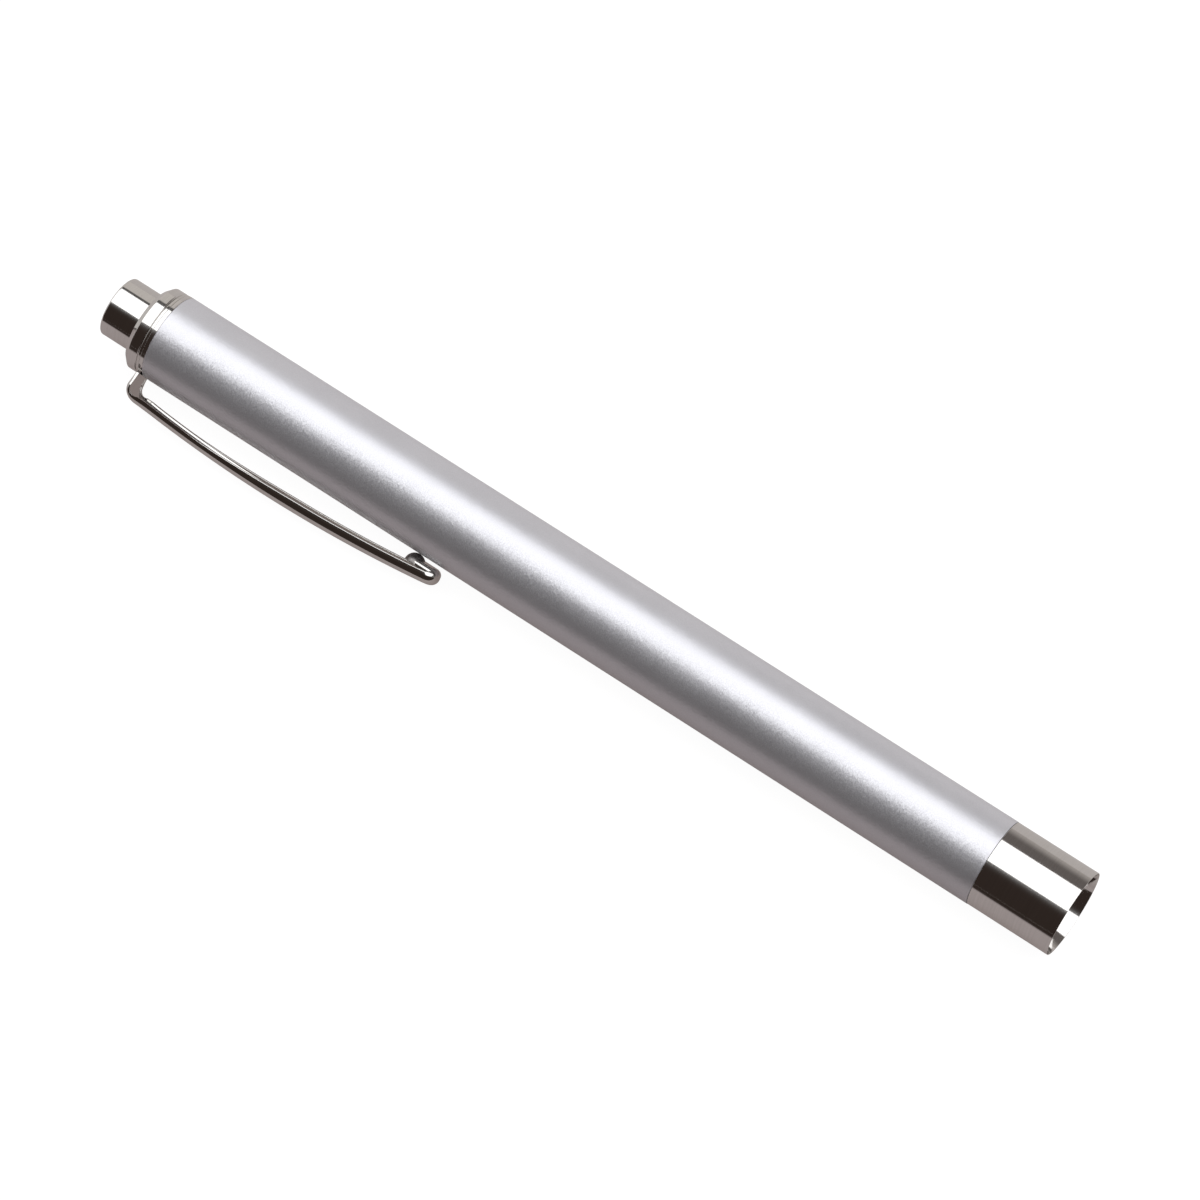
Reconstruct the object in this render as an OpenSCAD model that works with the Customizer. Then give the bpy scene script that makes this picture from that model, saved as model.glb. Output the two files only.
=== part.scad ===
// Penlight for two AAA cells: head with a lamp, plain barrel, pocket clip and push button.
// The light points along +X and lies as it rests on a table, on its barrel and its clip.
// The origin is on the axis, at the mouth of the head. Lengths are in millimetres.

/* [Cells] */
// Diameter of one cell over its jacket
cell_d = 10.3; // [10:0.05:10.4]
// Length of one cell with its nub
cell_len = 44.5; // [43.5:0.1:45.5]
// Diameter of the cell's nub
nub_d = 3.8; // [3:0.1:4.4]
// Height of the cell's nub
nub_h = 1; // [0.8:0.1:1.4]

/* [Barrel] */
// Wall of the barrel round its bore
barrel_wall = 0.55; // [0.45:0.05:1]
// Wall of the plastic liner round the cells
liner_wall = 0.18; // [0.12:0.01:0.22]

/* [Head] */
// Step from the barrel down to the head
head_step = 0.03; // [0:0.01:0.1]
// Length of the head, from its seam to its rim
head_len = 11.79; // [11:0.01:15]
// Depth of the open mouth in front of the reflector
mouth_depth = 4.37; // [3:0.1:5]
// Wall of the mouth
mouth_wall = 0.37; // [0.3:0.01:0.45]
// Wall of the threaded spigot
spigot_wall = 0.75; // [0.6:0.05:0.9]
// Pitch of the head's thread
thread_pitch = 0.5; // [0.35:0.05:0.75]
// Turns that take the head out of its thread
thread_turns = 6; // [5:1:7]

/* [Lamp] */
// Diameter of the lamp's clear body
led_d = 5; // [4.6:0.1:5.4]
// Length of the lamp's clear body with its dome
led_len = 8.6; // [8:0.1:9.4]
// Width of the lamp's foot ring past its body
led_lip = 0.4; // [0.3:0.05:0.6]
// Distance from the reflector's front back to the tip of the dome
led_set_back = 1.3; // [0.8:0.1:2]
// Thickness of the circuit board
board_t = 0.8; // [0.6:0.1:1.2]
// Length of the front spring between the board and the first cell
front_spring_len = 7.65; // [5:0.05:8.5]

/* [Button] */
// Diameter of the push button
button_d = 8.35; // [7.6:0.05:8.5]
// Length of the button outside the cap
button_out = 4.97; // [4:0.01:6]
// Travel of the button at full press
press_travel = 2.2; // [1.6:0.1:2.6]

/* [Tail] */
// Length of the cap's straight outside
cap_len = 1.4; // [1:0.1:3]
// Length of the cap's chamfer along the axis
cap_chamfer_len = 0.7; // [0.4:0.1:1.2]
// Height of the cap's chamfer
cap_chamfer_h = 0.72; // [0.4:0.05:0.9]
// Length of the bright ring between the clip's collar and the barrel
ring_len = 0.56; // [0.5:0.02:1.2]

/* [Clip] */
// Thickness of the clip's sheet
clip_t = 0.46; // [0.4:0.02:0.55]
// Width of the arm
clip_w = 3.6; // [3.4:0.1:4.2]
// Width of the neck where it meets the arm
neck_w = 5; // [4.4:0.1:5.4]
// Length of the clip from its neck to its tip
clip_len = 48.4; // [44:0.1:54]
// Height of the arm's outside above the barrel, at its highest
clip_reach = 4.42; // [4:0.01:4.8]
// Distance from the neck to the arm's highest place
clip_peak = 21.85; // [18:0.05:24]
// Radius of the arm's long bow
bow_r = 205; // [170:1:280]
// Outer radius of the bend at the neck
bend_r = 2; // [1.8:0.05:2.3]

/* [Hidden] */
$fn = 96;
// Steps of a coil: places along one turn, and sides of its wire
rings_per_turn = 8;
wire_sides = 6;
// Overrun of every cut past the surface that it opens
over = 0.5;

// Radial clearances: sliding, screwed and loosely held pieces
slide_gap = 0.07;
thread_gap = 0.05;
loose_gap = 0.07;
seated_gap = 0.03;
// Axial gap between faces that meet
face_gap = 0.02;
// Seam between head and barrel, and small edge break on every visible end
seam_gap = 0.05;
edge_break = 0.1;

// Radii that follow from the cell outwards
cell_r = cell_d / 2;
liner_r_in = cell_r + loose_gap;
liner_r = liner_r_in + liner_wall;
bore_r = liner_r + thread_gap;
spigot_r = bore_r - thread_gap;
barrel_r = bore_r + barrel_wall;

// Head and spigot
head_r = barrel_r - head_step;
head_front_x = 0;
head_rear_x = head_front_x - head_len;
mouth_r = head_r - mouth_wall;
mouth_floor_x = head_front_x - mouth_depth;
seat_step = 0.25;
seat_r = mouth_r - seat_step;
spigot_bore_r = spigot_r - spigot_wall;
seal_groove_w = 0.6;
seal_groove_h = 0.4;
seal_inset = 0.7;
seal_land = 0.4;
thread_len = thread_pitch * thread_turns;
spigot_nose = 1.7;
spigot_len = seal_inset + seal_groove_w + seal_land + thread_len + spigot_nose;
spigot_end_x = head_rear_x - spigot_len;
seal_groove_r = spigot_r - seal_groove_h;
seal_x = head_rear_x - seal_inset - seal_groove_w / 2;

// Reflector and lamp
cup_wall = 0.2;
cup_front_r = seat_r - seated_gap - cup_wall;
cup_len = 6.6;
cup_back_x = mouth_floor_x - cup_len;
cup_steps = 10;
led_r = led_d / 2;
led_hole_r = led_r + slide_gap;
led_tip_x = mouth_floor_x - led_set_back;
led_base_x = led_tip_x - led_len;
led_lip_r = led_r + led_lip;
led_lip_t = 1;
lead_t = 0.5;
lead_pitch = 2.54;
lead_top_drop = 4.2;
lead_top_x = led_tip_x - lead_top_drop;
anvil_w = 1.5;
anvil_h = 1.6;
anvil_lap = 0.4;
post_h = 1.1;
chip_w = 0.9;
chip_t = 0.3;
holder_r = spigot_bore_r - seated_gap;
holder_front_x = cup_back_x - face_gap;
board_front_x = spigot_end_x + board_t;
board_r = holder_r;
holder_rear_x = board_front_x + face_gap;
pad_t = 0.1;
pad_r = 3;
pad_r_in = 2.2;
pad_rear_x = spigot_end_x - pad_t;
resistor_len = 1.6;
resistor_w = 0.8;
resistor_h = 0.5;
resistor_r = 3.8;
front_wire = 0.4;
front_turns = 3;
front_r_nub = 1.4;
front_r_board = 2.6;

// Cells, from the front spring backwards
cell_split = 0.05;
nub_tip_x = pad_rear_x - front_spring_len;
front_cell_x = nub_tip_x - cell_len;
cell_rear_x = front_cell_x - cell_split - cell_len;
jacket_t = 0.1;
can_t = 0.2;
can_r = cell_r - jacket_t;
core_r = can_r - can_t;
base_r = 4;
base_t = 0.4;
base_step = 0.3;
seal_len = 1.6;

// Radii of the button and of what slides behind it
button_r = button_d / 2;
button_break = 0.25;
button_lip = 0.45;
button_lip_r = button_r + button_lip;
button_wall = 0.85;
button_hollow_r = button_r - button_wall;
button_roof = 1;
cap_chamber_r = button_lip_r + slide_gap;
housing_r_in = 3.5;
housing_rear_r = cap_chamber_r - seated_gap;
housing_front_r = spigot_r - seated_gap;
rib_count = 4;
rib_w = 1.4;
rib_h = 0.5;
rib_root = 0.4;
rib_len = 5.8;
key_w = 1.6;
key_len = 1.8;
plunger_r = housing_r_in - rib_h - slide_gap;
key_r = sqrt(pow(housing_r_in - slide_gap, 2) - pow(key_w / 2, 2));
plunger_head_r = button_hollow_r - seated_gap;
tooth_count = 8;
tooth_side = 0.8;
tooth_gap = 0.08;

// Switch, from the last cell backwards: spring, disc, stem, rotor, plunger and button
battery_len = 6.8;
battery_wire = 0.5;
battery_turns = 4;
battery_r_rear = 1.9;
battery_r_front = 3.9;
boss_len = 1.1;
disc_r = 3.7;
disc_t = 0.6;
disc_front_x = cell_rear_x - battery_len;
disc_rear_x = disc_front_x - disc_t;
disc_room = 0.7;
shoulder_t = 0.8;
shoulder_x = disc_rear_x - disc_room - shoulder_t;
return_len = 7;
return_wire = 0.4;
return_turns = 6;
return_r = 2.4;
rotor_front_x = shoulder_x - return_len;
rotor_len = 2.6;
rotor_rear_x = rotor_front_x - rotor_len;
stem_r = 1.1;
stem_inset = 1.8;
plunger_front_x = rotor_rear_x - tooth_gap;
housing_rear_x = plunger_front_x - rib_len / 2;
press_gap = 0.2;
button_front_x = housing_rear_x - press_travel - press_gap;
button_lip_t = 1.2;
button_lip_x = button_front_x - button_lip_t;
contact_gap = 0.06;
contact_ring_t = 0.8;
contact_ring_r_in = 3.5;
contact_ring_x = disc_front_x + press_travel + contact_gap;

// Cap, ring and barrel end, which the switch sets
cap_lip_t = 1.5;
cap_lip_x = button_lip_x - edge_break;
cap_face_x = cap_lip_x - cap_lip_t;
cap_edge_x = cap_face_x + cap_chamfer_len;
cap_shoulder_x = cap_edge_x + cap_len;
cap_r = barrel_r - seated_gap;
cap_spigot_len = 8.8;
cap_spigot_x = cap_shoulder_x + cap_spigot_len;
button_end_x = cap_face_x - button_out;
plunger_rear_x = button_end_x + button_roof + face_gap;
neck_x = cap_shoulder_x + face_gap;
collar_front_x = neck_x + clip_t;
ring_rear_x = collar_front_x + face_gap;
ring_front_x = ring_rear_x + ring_len;
barrel_rear_x = ring_front_x + face_gap;
barrel_front_x = head_rear_x - seam_gap;
ring_break = 0.06;
ring_notch_w = 8.4;
ring_notch_h = 0.3;
collar_r = barrel_r - seated_gap;
collar_bore_r = spigot_r + seated_gap;
neck_root_w = 4;

// Clip, seen with its outside along +Z before it is rolled into place
peak_x = neck_x + clip_peak;
peak_z = barrel_r + clip_reach;
bow_centre_z = peak_z - bow_r;
bend_centre_x = neck_x + bend_r;
join_a = acos((bend_centre_x - peak_x) / (bow_r - bend_r));
bend_centre_z = bow_centre_z + (bow_r - bend_r) * sin(join_a);
nose_x = neck_x + clip_len - clip_w / 2;
nose_a = acos((nose_x - peak_x) / bow_r);
nose_z = bow_centre_z + bow_r * sin(nose_a);
bend_steps = 8;
arm_steps = 14;
corner_steps = 4;
flare_len = 5;
flange_neck = 0.58;
flange_mid = 1.12;
flange_tip = 1.54;
deep_start = 8;
deep_len = 20;
corner_neck = 0.56;
corner_mid = 1.08;
corner_tip = 1.12;
rise_len = 2.5;
touch_gap = 0.08;
rest_gap = 0.04;
dome_r = 1.4;
dome_back = 2.25;
dome_x = nose_x - dome_back;
dome_z = barrel_r + touch_gap + dome_r;
dome_cut_share = 0.6;
tab_w = 3;
tab_inset = 0.12;
tab_top_z = dome_z - dome_cut_share * dome_r;
tip_rise = nose_z - flange_tip - tab_top_z - clip_t / 2;
flex_gap = 0.02;
dome_facets = 40;
spoon_steps = 14;
spoon_rise_share = 1.25;

// Place of the clip's outer face at angle a of the bend or the bow, as [x, z]
function bend_at(a) = [bend_centre_x + bend_r * cos(a), bend_centre_z + bend_r * sin(a)];
function bow_at(a) = [peak_x + bow_r * cos(a), bow_centre_z + bow_r * sin(a)];

// Stations along the arm, as [x, z, angle of the outward normal]
stations = concat(
  [for (i = [0 : bend_steps - 1]) let (a = 180 + (join_a - 180) * i / bend_steps) concat(bend_at(a), a)],
  [for (i = [0 : arm_steps]) let (a = join_a + (nose_a - join_a) * i / arm_steps) concat(bow_at(a), a)]
);

// Width, flange depth and corner radius at a distance s from the neck
function ease(u) = u * u * (3 - 2 * u);
function rise(s) = ease(min(1, max(0, s / rise_len)));
function width_at(s) = clip_w + (neck_w - clip_w) * pow(max(0, 1 - s / flare_len), 2);
function deepen(s) = ease(min(1, max(0, (s - deep_start) / deep_len)));
function flange_at(s) = flange_neck + (flange_mid - flange_neck) * rise(s)
  + (flange_tip - flange_mid) * deepen(s);
function corner_at(s) = corner_neck + (corner_mid - corner_neck) * rise(s)
  + (corner_tip - corner_mid) * s / clip_len;

// Roll at which the barrel lies on the table and the clip's lower corner is a hair above it
function rest_roll(s, z) = let (c = corner_at(s), y = width_at(s) / 2 - c, h = z - c)
  asin((barrel_r - rest_gap - c) / norm([h, y])) - atan(y / h);
clip_roll = min([for (p = stations) rest_roll(p[0] - neck_x, p[1])]);

// A solid turned about the X axis, from points given as [radius, x]
module turned(outline) rotate([0, 90, 0]) rotate_extrude() polygon(outline);

// A plain ring or, with no inner radius, a plain disc
module ring(x0, x1, r_out, r_in = 0)
  turned([[r_in, x0], [r_out, x0], [r_out, x1], [r_in, x1]]);

// Bars set radially on edge, which cut or make the teeth of the cam
module tooth_bars(x, side, r_in, r_out)
  for (i = [0 : tooth_count - 1])
    rotate([i * 360 / tooth_count, 0, 0])
      translate([x, 0, (r_in + r_out) / 2])
        rotate([0, 0, 45]) cube([side, side, r_out - r_in], center = true);

// Straight keys round the axis
module keys(x0, x1, r_in, r_out, w, turn = 0)
  for (i = [0 : rib_count - 1])
    rotate([turn + i * 360 / rib_count, 0, 0])
      translate([x0, -w / 2, r_in]) cube([x1 - x0, w, r_out - r_in]);

// A coil of round wire about the X axis, with its radius going evenly from r0 to r1
module coil(x0, x1, r0, r1, wire, turns) {
  last = turns * rings_per_turn;
  wire_r = wire / 2;
  points = [for (i = [0 : last], k = [0 : wire_sides - 1])
    let (u = i / last, a = 360 * i / rings_per_turn, b = 360 * k / wire_sides,
         r = r0 + (r1 - r0) * u + wire_r * cos(b),
         x = x0 + wire_r + (x1 - x0 - wire) * u + wire_r * sin(b))
    [x, r * cos(a), r * sin(a)]];
  sides = [for (i = [0 : last - 1], k = [0 : wire_sides - 1])
    let (n = (k + 1) % wire_sides, a = i * wire_sides, b = a + wire_sides)
    each [[a + k, b + k, a + n], [a + n, b + k, b + n]]];
  ends = [[for (k = [0 : wire_sides - 1]) k],
          [for (k = [wire_sides - 1 : -1 : 0]) last * wire_sides + k]];
  polyhedron(points, concat(sides, ends));
}

// Barrel tube, with its edges broken at both ends
module barrel()
  color("silver")
    turned([
      [bore_r, barrel_rear_x], [barrel_r - edge_break, barrel_rear_x],
      [barrel_r, barrel_rear_x + edge_break], [barrel_r, barrel_front_x - edge_break],
      [barrel_r - edge_break, barrel_front_x], [bore_r, barrel_front_x]
    ]);

module cell_liner()
  color("ivory")
    ring(cell_rear_x + edge_break, nub_tip_x - nub_h, liner_r, liner_r_in);

// One cell: steel can with its nub, filling, jacket, seal and base, with the base at x
module cell_can(x) {
  nub_r = nub_d / 2;
  shoulder = x + cell_len - nub_h;
  color("lightsteelblue")
    turned([
      [core_r, x + base_step], [can_r, x + base_step], [can_r, shoulder], [nub_r, shoulder],
      [nub_r, x + cell_len], [0, x + cell_len], [0, x + cell_len - can_t],
      [nub_r - can_t, x + cell_len - can_t], [nub_r - can_t, shoulder - can_t],
      [core_r, shoulder - can_t]
    ]);
}

module cell_core(x)
  color("dimgray")
    ring(x + base_step + seal_len + face_gap, x + cell_len - nub_h - can_t - face_gap, core_r - face_gap);

module cell_jacket(x)
  color("seagreen")
    ring(x + base_step, x + cell_len - nub_h, cell_r, can_r);

module cell_seal(x)
  color("khaki")
    turned([
      [base_r + face_gap, x + base_step], [core_r, x + base_step], [core_r, x + base_step + seal_len],
      [0, x + base_step + seal_len], [0, x + base_t + face_gap], [base_r + face_gap, x + base_t + face_gap]
    ]);

module cell_base(x)
  color("gainsboro")
    ring(x, x + base_t, base_r);

module front_cell_can() cell_can(front_cell_x);
module front_cell_core() cell_core(front_cell_x);
module front_cell_jacket() cell_jacket(front_cell_x);
module front_cell_seal() cell_seal(front_cell_x);
module front_cell_base() cell_base(front_cell_x);
module rear_cell_can() cell_can(cell_rear_x);
module rear_cell_core() cell_core(cell_rear_x);
module rear_cell_jacket() cell_jacket(cell_rear_x);
module rear_cell_seal() cell_seal(cell_rear_x);
module rear_cell_base() cell_base(cell_rear_x);

// Head: plain tube with an open mouth, a seat for the reflector and a threaded spigot
module head_tube() {
  groove_front = seal_x + seal_groove_w / 2;
  groove_rear = seal_x - seal_groove_w / 2;
  color("gainsboro")
    turned([
      [mouth_r, head_front_x], [head_r - edge_break, head_front_x],
      [head_r, head_front_x - edge_break], [head_r, head_rear_x + edge_break],
      [head_r - edge_break, head_rear_x], [spigot_r, head_rear_x],
      [spigot_r, groove_front], [seal_groove_r, groove_front],
      [seal_groove_r, groove_rear], [spigot_r, groove_rear],
      [spigot_r, spigot_end_x + edge_break], [spigot_r - edge_break, spigot_end_x],
      [spigot_bore_r, spigot_end_x], [spigot_bore_r, cup_back_x],
      [seat_r, cup_back_x], [seat_r, mouth_floor_x], [mouth_r, mouth_floor_x]
    ]);
}

// Rubber ring in the groove of the spigot
module head_seal()
  color("black")
    rotate([0, 90, 0])
      rotate_extrude()
        translate([seal_groove_r + face_gap + (bore_r - seal_groove_r - 2 * face_gap) / 2, seal_x])
          circle((bore_r - seal_groove_r - 2 * face_gap) / 2);

// Bright cup whose wall follows a parabola from the lamp's hole to the mouth
function cup_r(u) = led_hole_r + (cup_front_r - led_hole_r) * sqrt(u);
module reflector()
  color("white")
    turned(concat(
      [[led_hole_r, cup_back_x + face_gap], [seat_r - seated_gap, cup_back_x + face_gap],
       [seat_r - seated_gap, mouth_floor_x], [cup_front_r, mouth_floor_x]],
      [for (i = [cup_steps - 1 : -1 : 0])
        [cup_r(i / cup_steps), cup_back_x + cup_wall + (cup_len - cup_wall) * i / cup_steps]]
    ));

// Shape of the two lead posts, with the anvil that carries the chip on one of them
module frame_shape() {
  for (lead = [[-1, anvil_h], [1, post_h]])
    translate([spigot_end_x, lead[0] * lead_pitch / 2 - lead_t / 2, -lead_t / 2])
      cube([lead_top_x - lead[1] / 2 - spigot_end_x, lead_t, lead_t]);
  translate([lead_top_x - anvil_h, -lead_pitch / 2 - lead_t / 2, -lead_t / 2])
    cube([anvil_h, lead_pitch / 2 + lead_t / 2 + anvil_lap, lead_t]);
  ring(lead_top_x - anvil_h / 2, lead_top_x, anvil_w / 2);
  translate([lead_top_x - post_h, lead_pitch / 2 - lead_t / 2, -lead_t])
    cube([post_h, lead_t, 2 * lead_t]);
}

module chip_shape()
  ring(lead_top_x, lead_top_x + chip_t, chip_w / 2);

module led_lens()
  color("azure")
    difference() {
      union() {
        ring(led_base_x, led_tip_x - led_r, led_r);
        translate([led_tip_x - led_r, 0, 0]) sphere(led_r);
        ring(led_base_x, led_base_x + led_lip_t, led_lip_r);
      }
      frame_shape();
      chip_shape();
    }

module led_frame() color("silver") frame_shape();

module led_chip() color("gold") chip_shape();

// Plug that holds the lamp in the spigot, with a way through for each lead
module led_holder()
  color("dimgray")
    difference() {
      ring(holder_rear_x, holder_front_x, holder_r);
      ring(led_base_x - face_gap, holder_front_x + over, led_lip_r + slide_gap);
      for (side = [-1, 1])
        translate([holder_rear_x - over, side * lead_pitch / 2, 0])
          rotate([0, 90, 0]) cylinder(h = holder_front_x - holder_rear_x, r = lead_t);
    }

// Round board with a square hole for each lead
module circuit_board()
  color("seagreen")
    difference() {
      ring(spigot_end_x, board_front_x, board_r);
      for (side = [-1, 1])
        translate([spigot_end_x - over, side * lead_pitch / 2 - lead_t / 2, -lead_t / 2])
          cube([board_t + 2 * over, lead_t, lead_t]);
    }

module resistor()
  color("black")
    translate([spigot_end_x - resistor_h, -resistor_len / 2, resistor_r - resistor_w / 2])
      cube([resistor_h, resistor_len, resistor_w]);

module contact_pad()
  color("goldenrod")
    ring(pad_rear_x, spigot_end_x, pad_r, pad_r_in);

module front_spring()
  color("lightgray")
    coil(nub_tip_x + face_gap, pad_rear_x - face_gap, front_r_nub, front_r_board, front_wire, front_turns);

// Cap: chamfered outside, bore for the button, chamber for its lip, threaded spigot
module tail_cap()
  color("gainsboro")
    turned([
      [button_r + slide_gap, cap_face_x], [cap_r - cap_chamfer_h, cap_face_x], [cap_r, cap_edge_x],
      [cap_r, cap_shoulder_x - edge_break / 2], [cap_r - edge_break, cap_shoulder_x],
      [spigot_r, cap_shoulder_x], [spigot_r, cap_spigot_x], [cap_chamber_r, cap_spigot_x],
      [cap_chamber_r, cap_lip_x], [button_r + slide_gap, cap_lip_x]
    ]);

// Bright ring that holds the clip's collar against the cap, with a notch at the neck
module clip_ring()
  color("gainsboro")
    difference() {
      turned([
        [collar_bore_r, ring_front_x], [barrel_r - ring_break, ring_front_x],
        [barrel_r, ring_front_x - ring_break], [barrel_r, ring_rear_x + ring_break],
        [barrel_r - ring_break, ring_rear_x], [collar_bore_r, ring_rear_x]
      ]);
      intersection() {
        ring(ring_rear_x - over, ring_front_x + over, barrel_r + over, barrel_r - ring_notch_h);
        at_clip()
          translate([ring_rear_x - over, -ring_notch_w / 2, 0])
            cube([ring_len + 2 * over, ring_notch_w, barrel_r + over]);
      }
    }

// Rolls a piece that was drawn with its outside along +Z to the clip's place
module at_clip() rotate([90 + clip_roll, 0, 0]) children();

// Flat collar between cap and ring, with the neck of the clip that widens towards the arm
module clip_collar() {
  neck_top_z = bend_centre_z - flex_gap;
  color("silver")
    difference() {
      union() {
        ring(neck_x, collar_front_x, collar_r);
        at_clip()
          translate([neck_x, 0, 0])
            rotate([90, 0, 90])
              linear_extrude(clip_t)
                polygon([
                  [-neck_root_w / 2, 0], [neck_root_w / 2, 0], [neck_root_w / 2, barrel_r],
                  [neck_w / 2, neck_top_z], [-neck_w / 2, neck_top_z], [-neck_root_w / 2, barrel_r]
                ]);
      }
      ring(neck_x - over, collar_front_x + over, collar_bore_r);
    }
}

// Outline of the arm across its length: its outside from rim to rim, then its inside
function mirrored(list) = [for (i = [len(list) - 1 : -1 : 0]) [-list[i][0], list[i][1]]];
function corner(y, c, r) = [for (i = [0 : corner_steps])
  let (a = 90 * i / corner_steps) [-y + c - r * cos(a), c - r * sin(a)]];
function half_outline(w, depth, c, t) = concat([[-w / 2 + t, depth]], corner(w / 2, c, c - t));
function whole_outline(half, t) = concat(half, [[0, t]], mirrored(half));
function section_at(s) = let (w = width_at(s), d = flange_at(s), c = corner_at(s))
  concat(whole_outline(half_outline(w, d, c, 0), 0), whole_outline(half_outline(w, d, c, clip_t), clip_t));
function quad(a, b, c, d) = [[a, b, c], [a, c, d]];

// The arm: a channel swept along its stations, closed by a spoon turned about its own end
module arm_sheet() {
  half = corner_steps + 2;
  side = 2 * half + 1;
  count = 2 * side;
  last = len(stations) - 1;
  spoon = len(stations) * count;
  channel = [for (p = stations, q = section_at(p[0] - neck_x))
    [p[0] - cos(p[2]) * q[1], q[0], p[1] - sin(p[2]) * q[1]]];
  tip_s = nose_x - neck_x;
  tip_c = corner_at(tip_s);
  turn = function(i) -90 + 180 * i / spoon_steps;
  rim = function(i) flange_at(tip_s) + tip_rise * ease(min(1, spoon_rise_share * cos(turn(i))));
  around = [for (i = [1 : spoon_steps - 1], t = [0, clip_t], q = half_outline(clip_w, rim(i), tip_c, t))
    [nose_x - q[0] * cos(turn(i)) * sin(nose_a) - q[1] * cos(nose_a), -q[0] * sin(turn(i)),
     nose_z + q[0] * cos(turn(i)) * cos(nose_a) - q[1] * sin(nose_a)]];
  at = function(i, j, inner) j == half || i == 0 ? last * count + inner * side + j
    : i == spoon_steps ? last * count + inner * side + side - 1 - j
    : spoon + (2 * (i - 1) + inner) * half + j;
  next = [for (j = [0 : count - 1])
    j == side - 1 ? count - 1 : j == side ? 0 : j < side ? j + 1 : j - 1];
  sides = [for (i = [0 : last - 1], j = [0 : count - 1]) let (a = i * count, b = a + count)
    each quad(a + j, a + next[j], b + next[j], b + j)];
  start = [for (j = [0 : side - 2]) each quad(j, side + j, side + j + 1, j + 1)];
  shells = [for (i = [0 : spoon_steps - 1], j = [0 : half - 2], n = [0, 1])
    each n == 0 ? quad(at(i, j, n), at(i, j + 1, n), at(i + 1, j + 1, n), at(i + 1, j, n))
      : quad(at(i, j, n), at(i + 1, j, n), at(i + 1, j + 1, n), at(i, j + 1, n))];
  middle = [for (i = [0 : spoon_steps - 1], n = [0, 1])
    n == 0 ? [at(i, half - 1, n), at(i, half, n), at(i + 1, half - 1, n)]
      : [at(i, half - 1, n), at(i + 1, half - 1, n), at(i, half, n)]];
  rims = [for (i = [0 : spoon_steps - 1])
    each quad(at(i, 0, 0), at(i + 1, 0, 0), at(i + 1, 0, 1), at(i, 0, 1))];
  polyhedron(concat(channel, around), concat(sides, start, shells, middle, rims));
}

// Tab that folds back from the tip and carries the dome that touches the barrel
module arm_tab()
  difference() {
    union() {
      translate([dome_x, -tab_w / 2, tab_top_z]) cube([nose_x - dome_x, tab_w, clip_t]);
      translate([nose_x, 0, tab_top_z])
        intersection() {
          cylinder(h = clip_t, r = clip_w / 2 - tab_inset);
          translate([-clip_w, -tab_w / 2, 0]) cube([2 * clip_w, tab_w, clip_t]);
        }
      translate([dome_x, 0, dome_z]) sphere(dome_r, $fn = dome_facets);
    }
    translate([dome_x, 0, dome_z]) sphere(dome_r - clip_t, $fn = dome_facets);
    translate([dome_x - dome_r - over, -dome_r - over, dome_z])
      cube([2 * (dome_r + over), 2 * (dome_r + over), dome_r + over]);
  }

module clip_arm()
  color("silver")
    at_clip() {
      arm_sheet();
      arm_tab();
    }

// Hollow button with a lip that stops under the cap
module push_button()
  color("gainsboro")
    turned([
      [0, button_end_x], [button_r - button_break, button_end_x], [button_r, button_end_x + button_break],
      [button_r, button_lip_x], [button_lip_r, button_lip_x], [button_lip_r, button_front_x],
      [button_hollow_r, button_front_x], [button_hollow_r, button_end_x + button_roof],
      [0, button_end_x + button_roof]
    ]);

// Plunger pushed into the button, with keys that run between the housing's ribs
module plunger()
  color("tomato")
    difference() {
      union() {
        ring(plunger_rear_x, button_front_x, plunger_head_r);
        ring(button_front_x, plunger_front_x, plunger_r);
        keys(plunger_front_x - key_len, plunger_front_x - tooth_side, 0, key_r, key_w);
      }
      tooth_bars(plunger_front_x, tooth_side, 0, plunger_r + over);
      ring(plunger_front_x - key_len, plunger_front_x + over, stem_r + slide_gap);
    }

// Rotor with teeth that meet the plunger's, and keys that hold it between the ribs
module rotor()
  color("lightyellow")
    difference() {
      union() {
        ring(rotor_rear_x, rotor_front_x, plunger_r);
        intersection() {
          tooth_bars(rotor_rear_x, tooth_side - tooth_gap, 0, plunger_r + over);
          ring(rotor_rear_x - tooth_side, rotor_front_x, plunger_r);
        }
        keys(rotor_front_x - key_len, rotor_front_x, 0, key_r, key_w);
      }
      ring(rotor_rear_x - tooth_side - over, rotor_front_x + over, stem_r + seated_gap);
    }

// Brass stem with the moving contact disc and a boss that centres the battery spring
module contact_stem()
  color("goldenrod") {
    ring(rotor_front_x - stem_inset, disc_rear_x, stem_r);
    ring(disc_rear_x, disc_front_x, disc_r);
    ring(disc_front_x, disc_front_x + boss_len, battery_r_rear - battery_wire);
  }

// Housing of the switch: ribs for the keys, a seat for the return spring, room for the disc
module cam_housing() {
  step_x = cap_spigot_x + face_gap;
  color("whitesmoke") {
    turned([
      [housing_r_in, housing_rear_x], [housing_rear_r, housing_rear_x], [housing_rear_r, step_x],
      [housing_front_r, step_x], [housing_front_r, contact_ring_x - face_gap],
      [disc_r + slide_gap, contact_ring_x - face_gap], [disc_r + slide_gap, shoulder_x + shoulder_t],
      [stem_r + slide_gap, shoulder_x + shoulder_t], [stem_r + slide_gap, shoulder_x],
      [housing_r_in, shoulder_x]
    ]);
    keys(housing_rear_x, housing_rear_x + rib_len, housing_r_in - rib_h, housing_r_in + rib_root, rib_w,
         180 / rib_count);
  }
}

module contact_ring()
  color("goldenrod")
    ring(contact_ring_x, contact_ring_x + contact_ring_t, bore_r - seated_gap, contact_ring_r_in);

module return_spring()
  color("lightgray")
    coil(rotor_front_x + face_gap, shoulder_x - face_gap, return_r, return_r, return_wire, return_turns);

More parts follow.
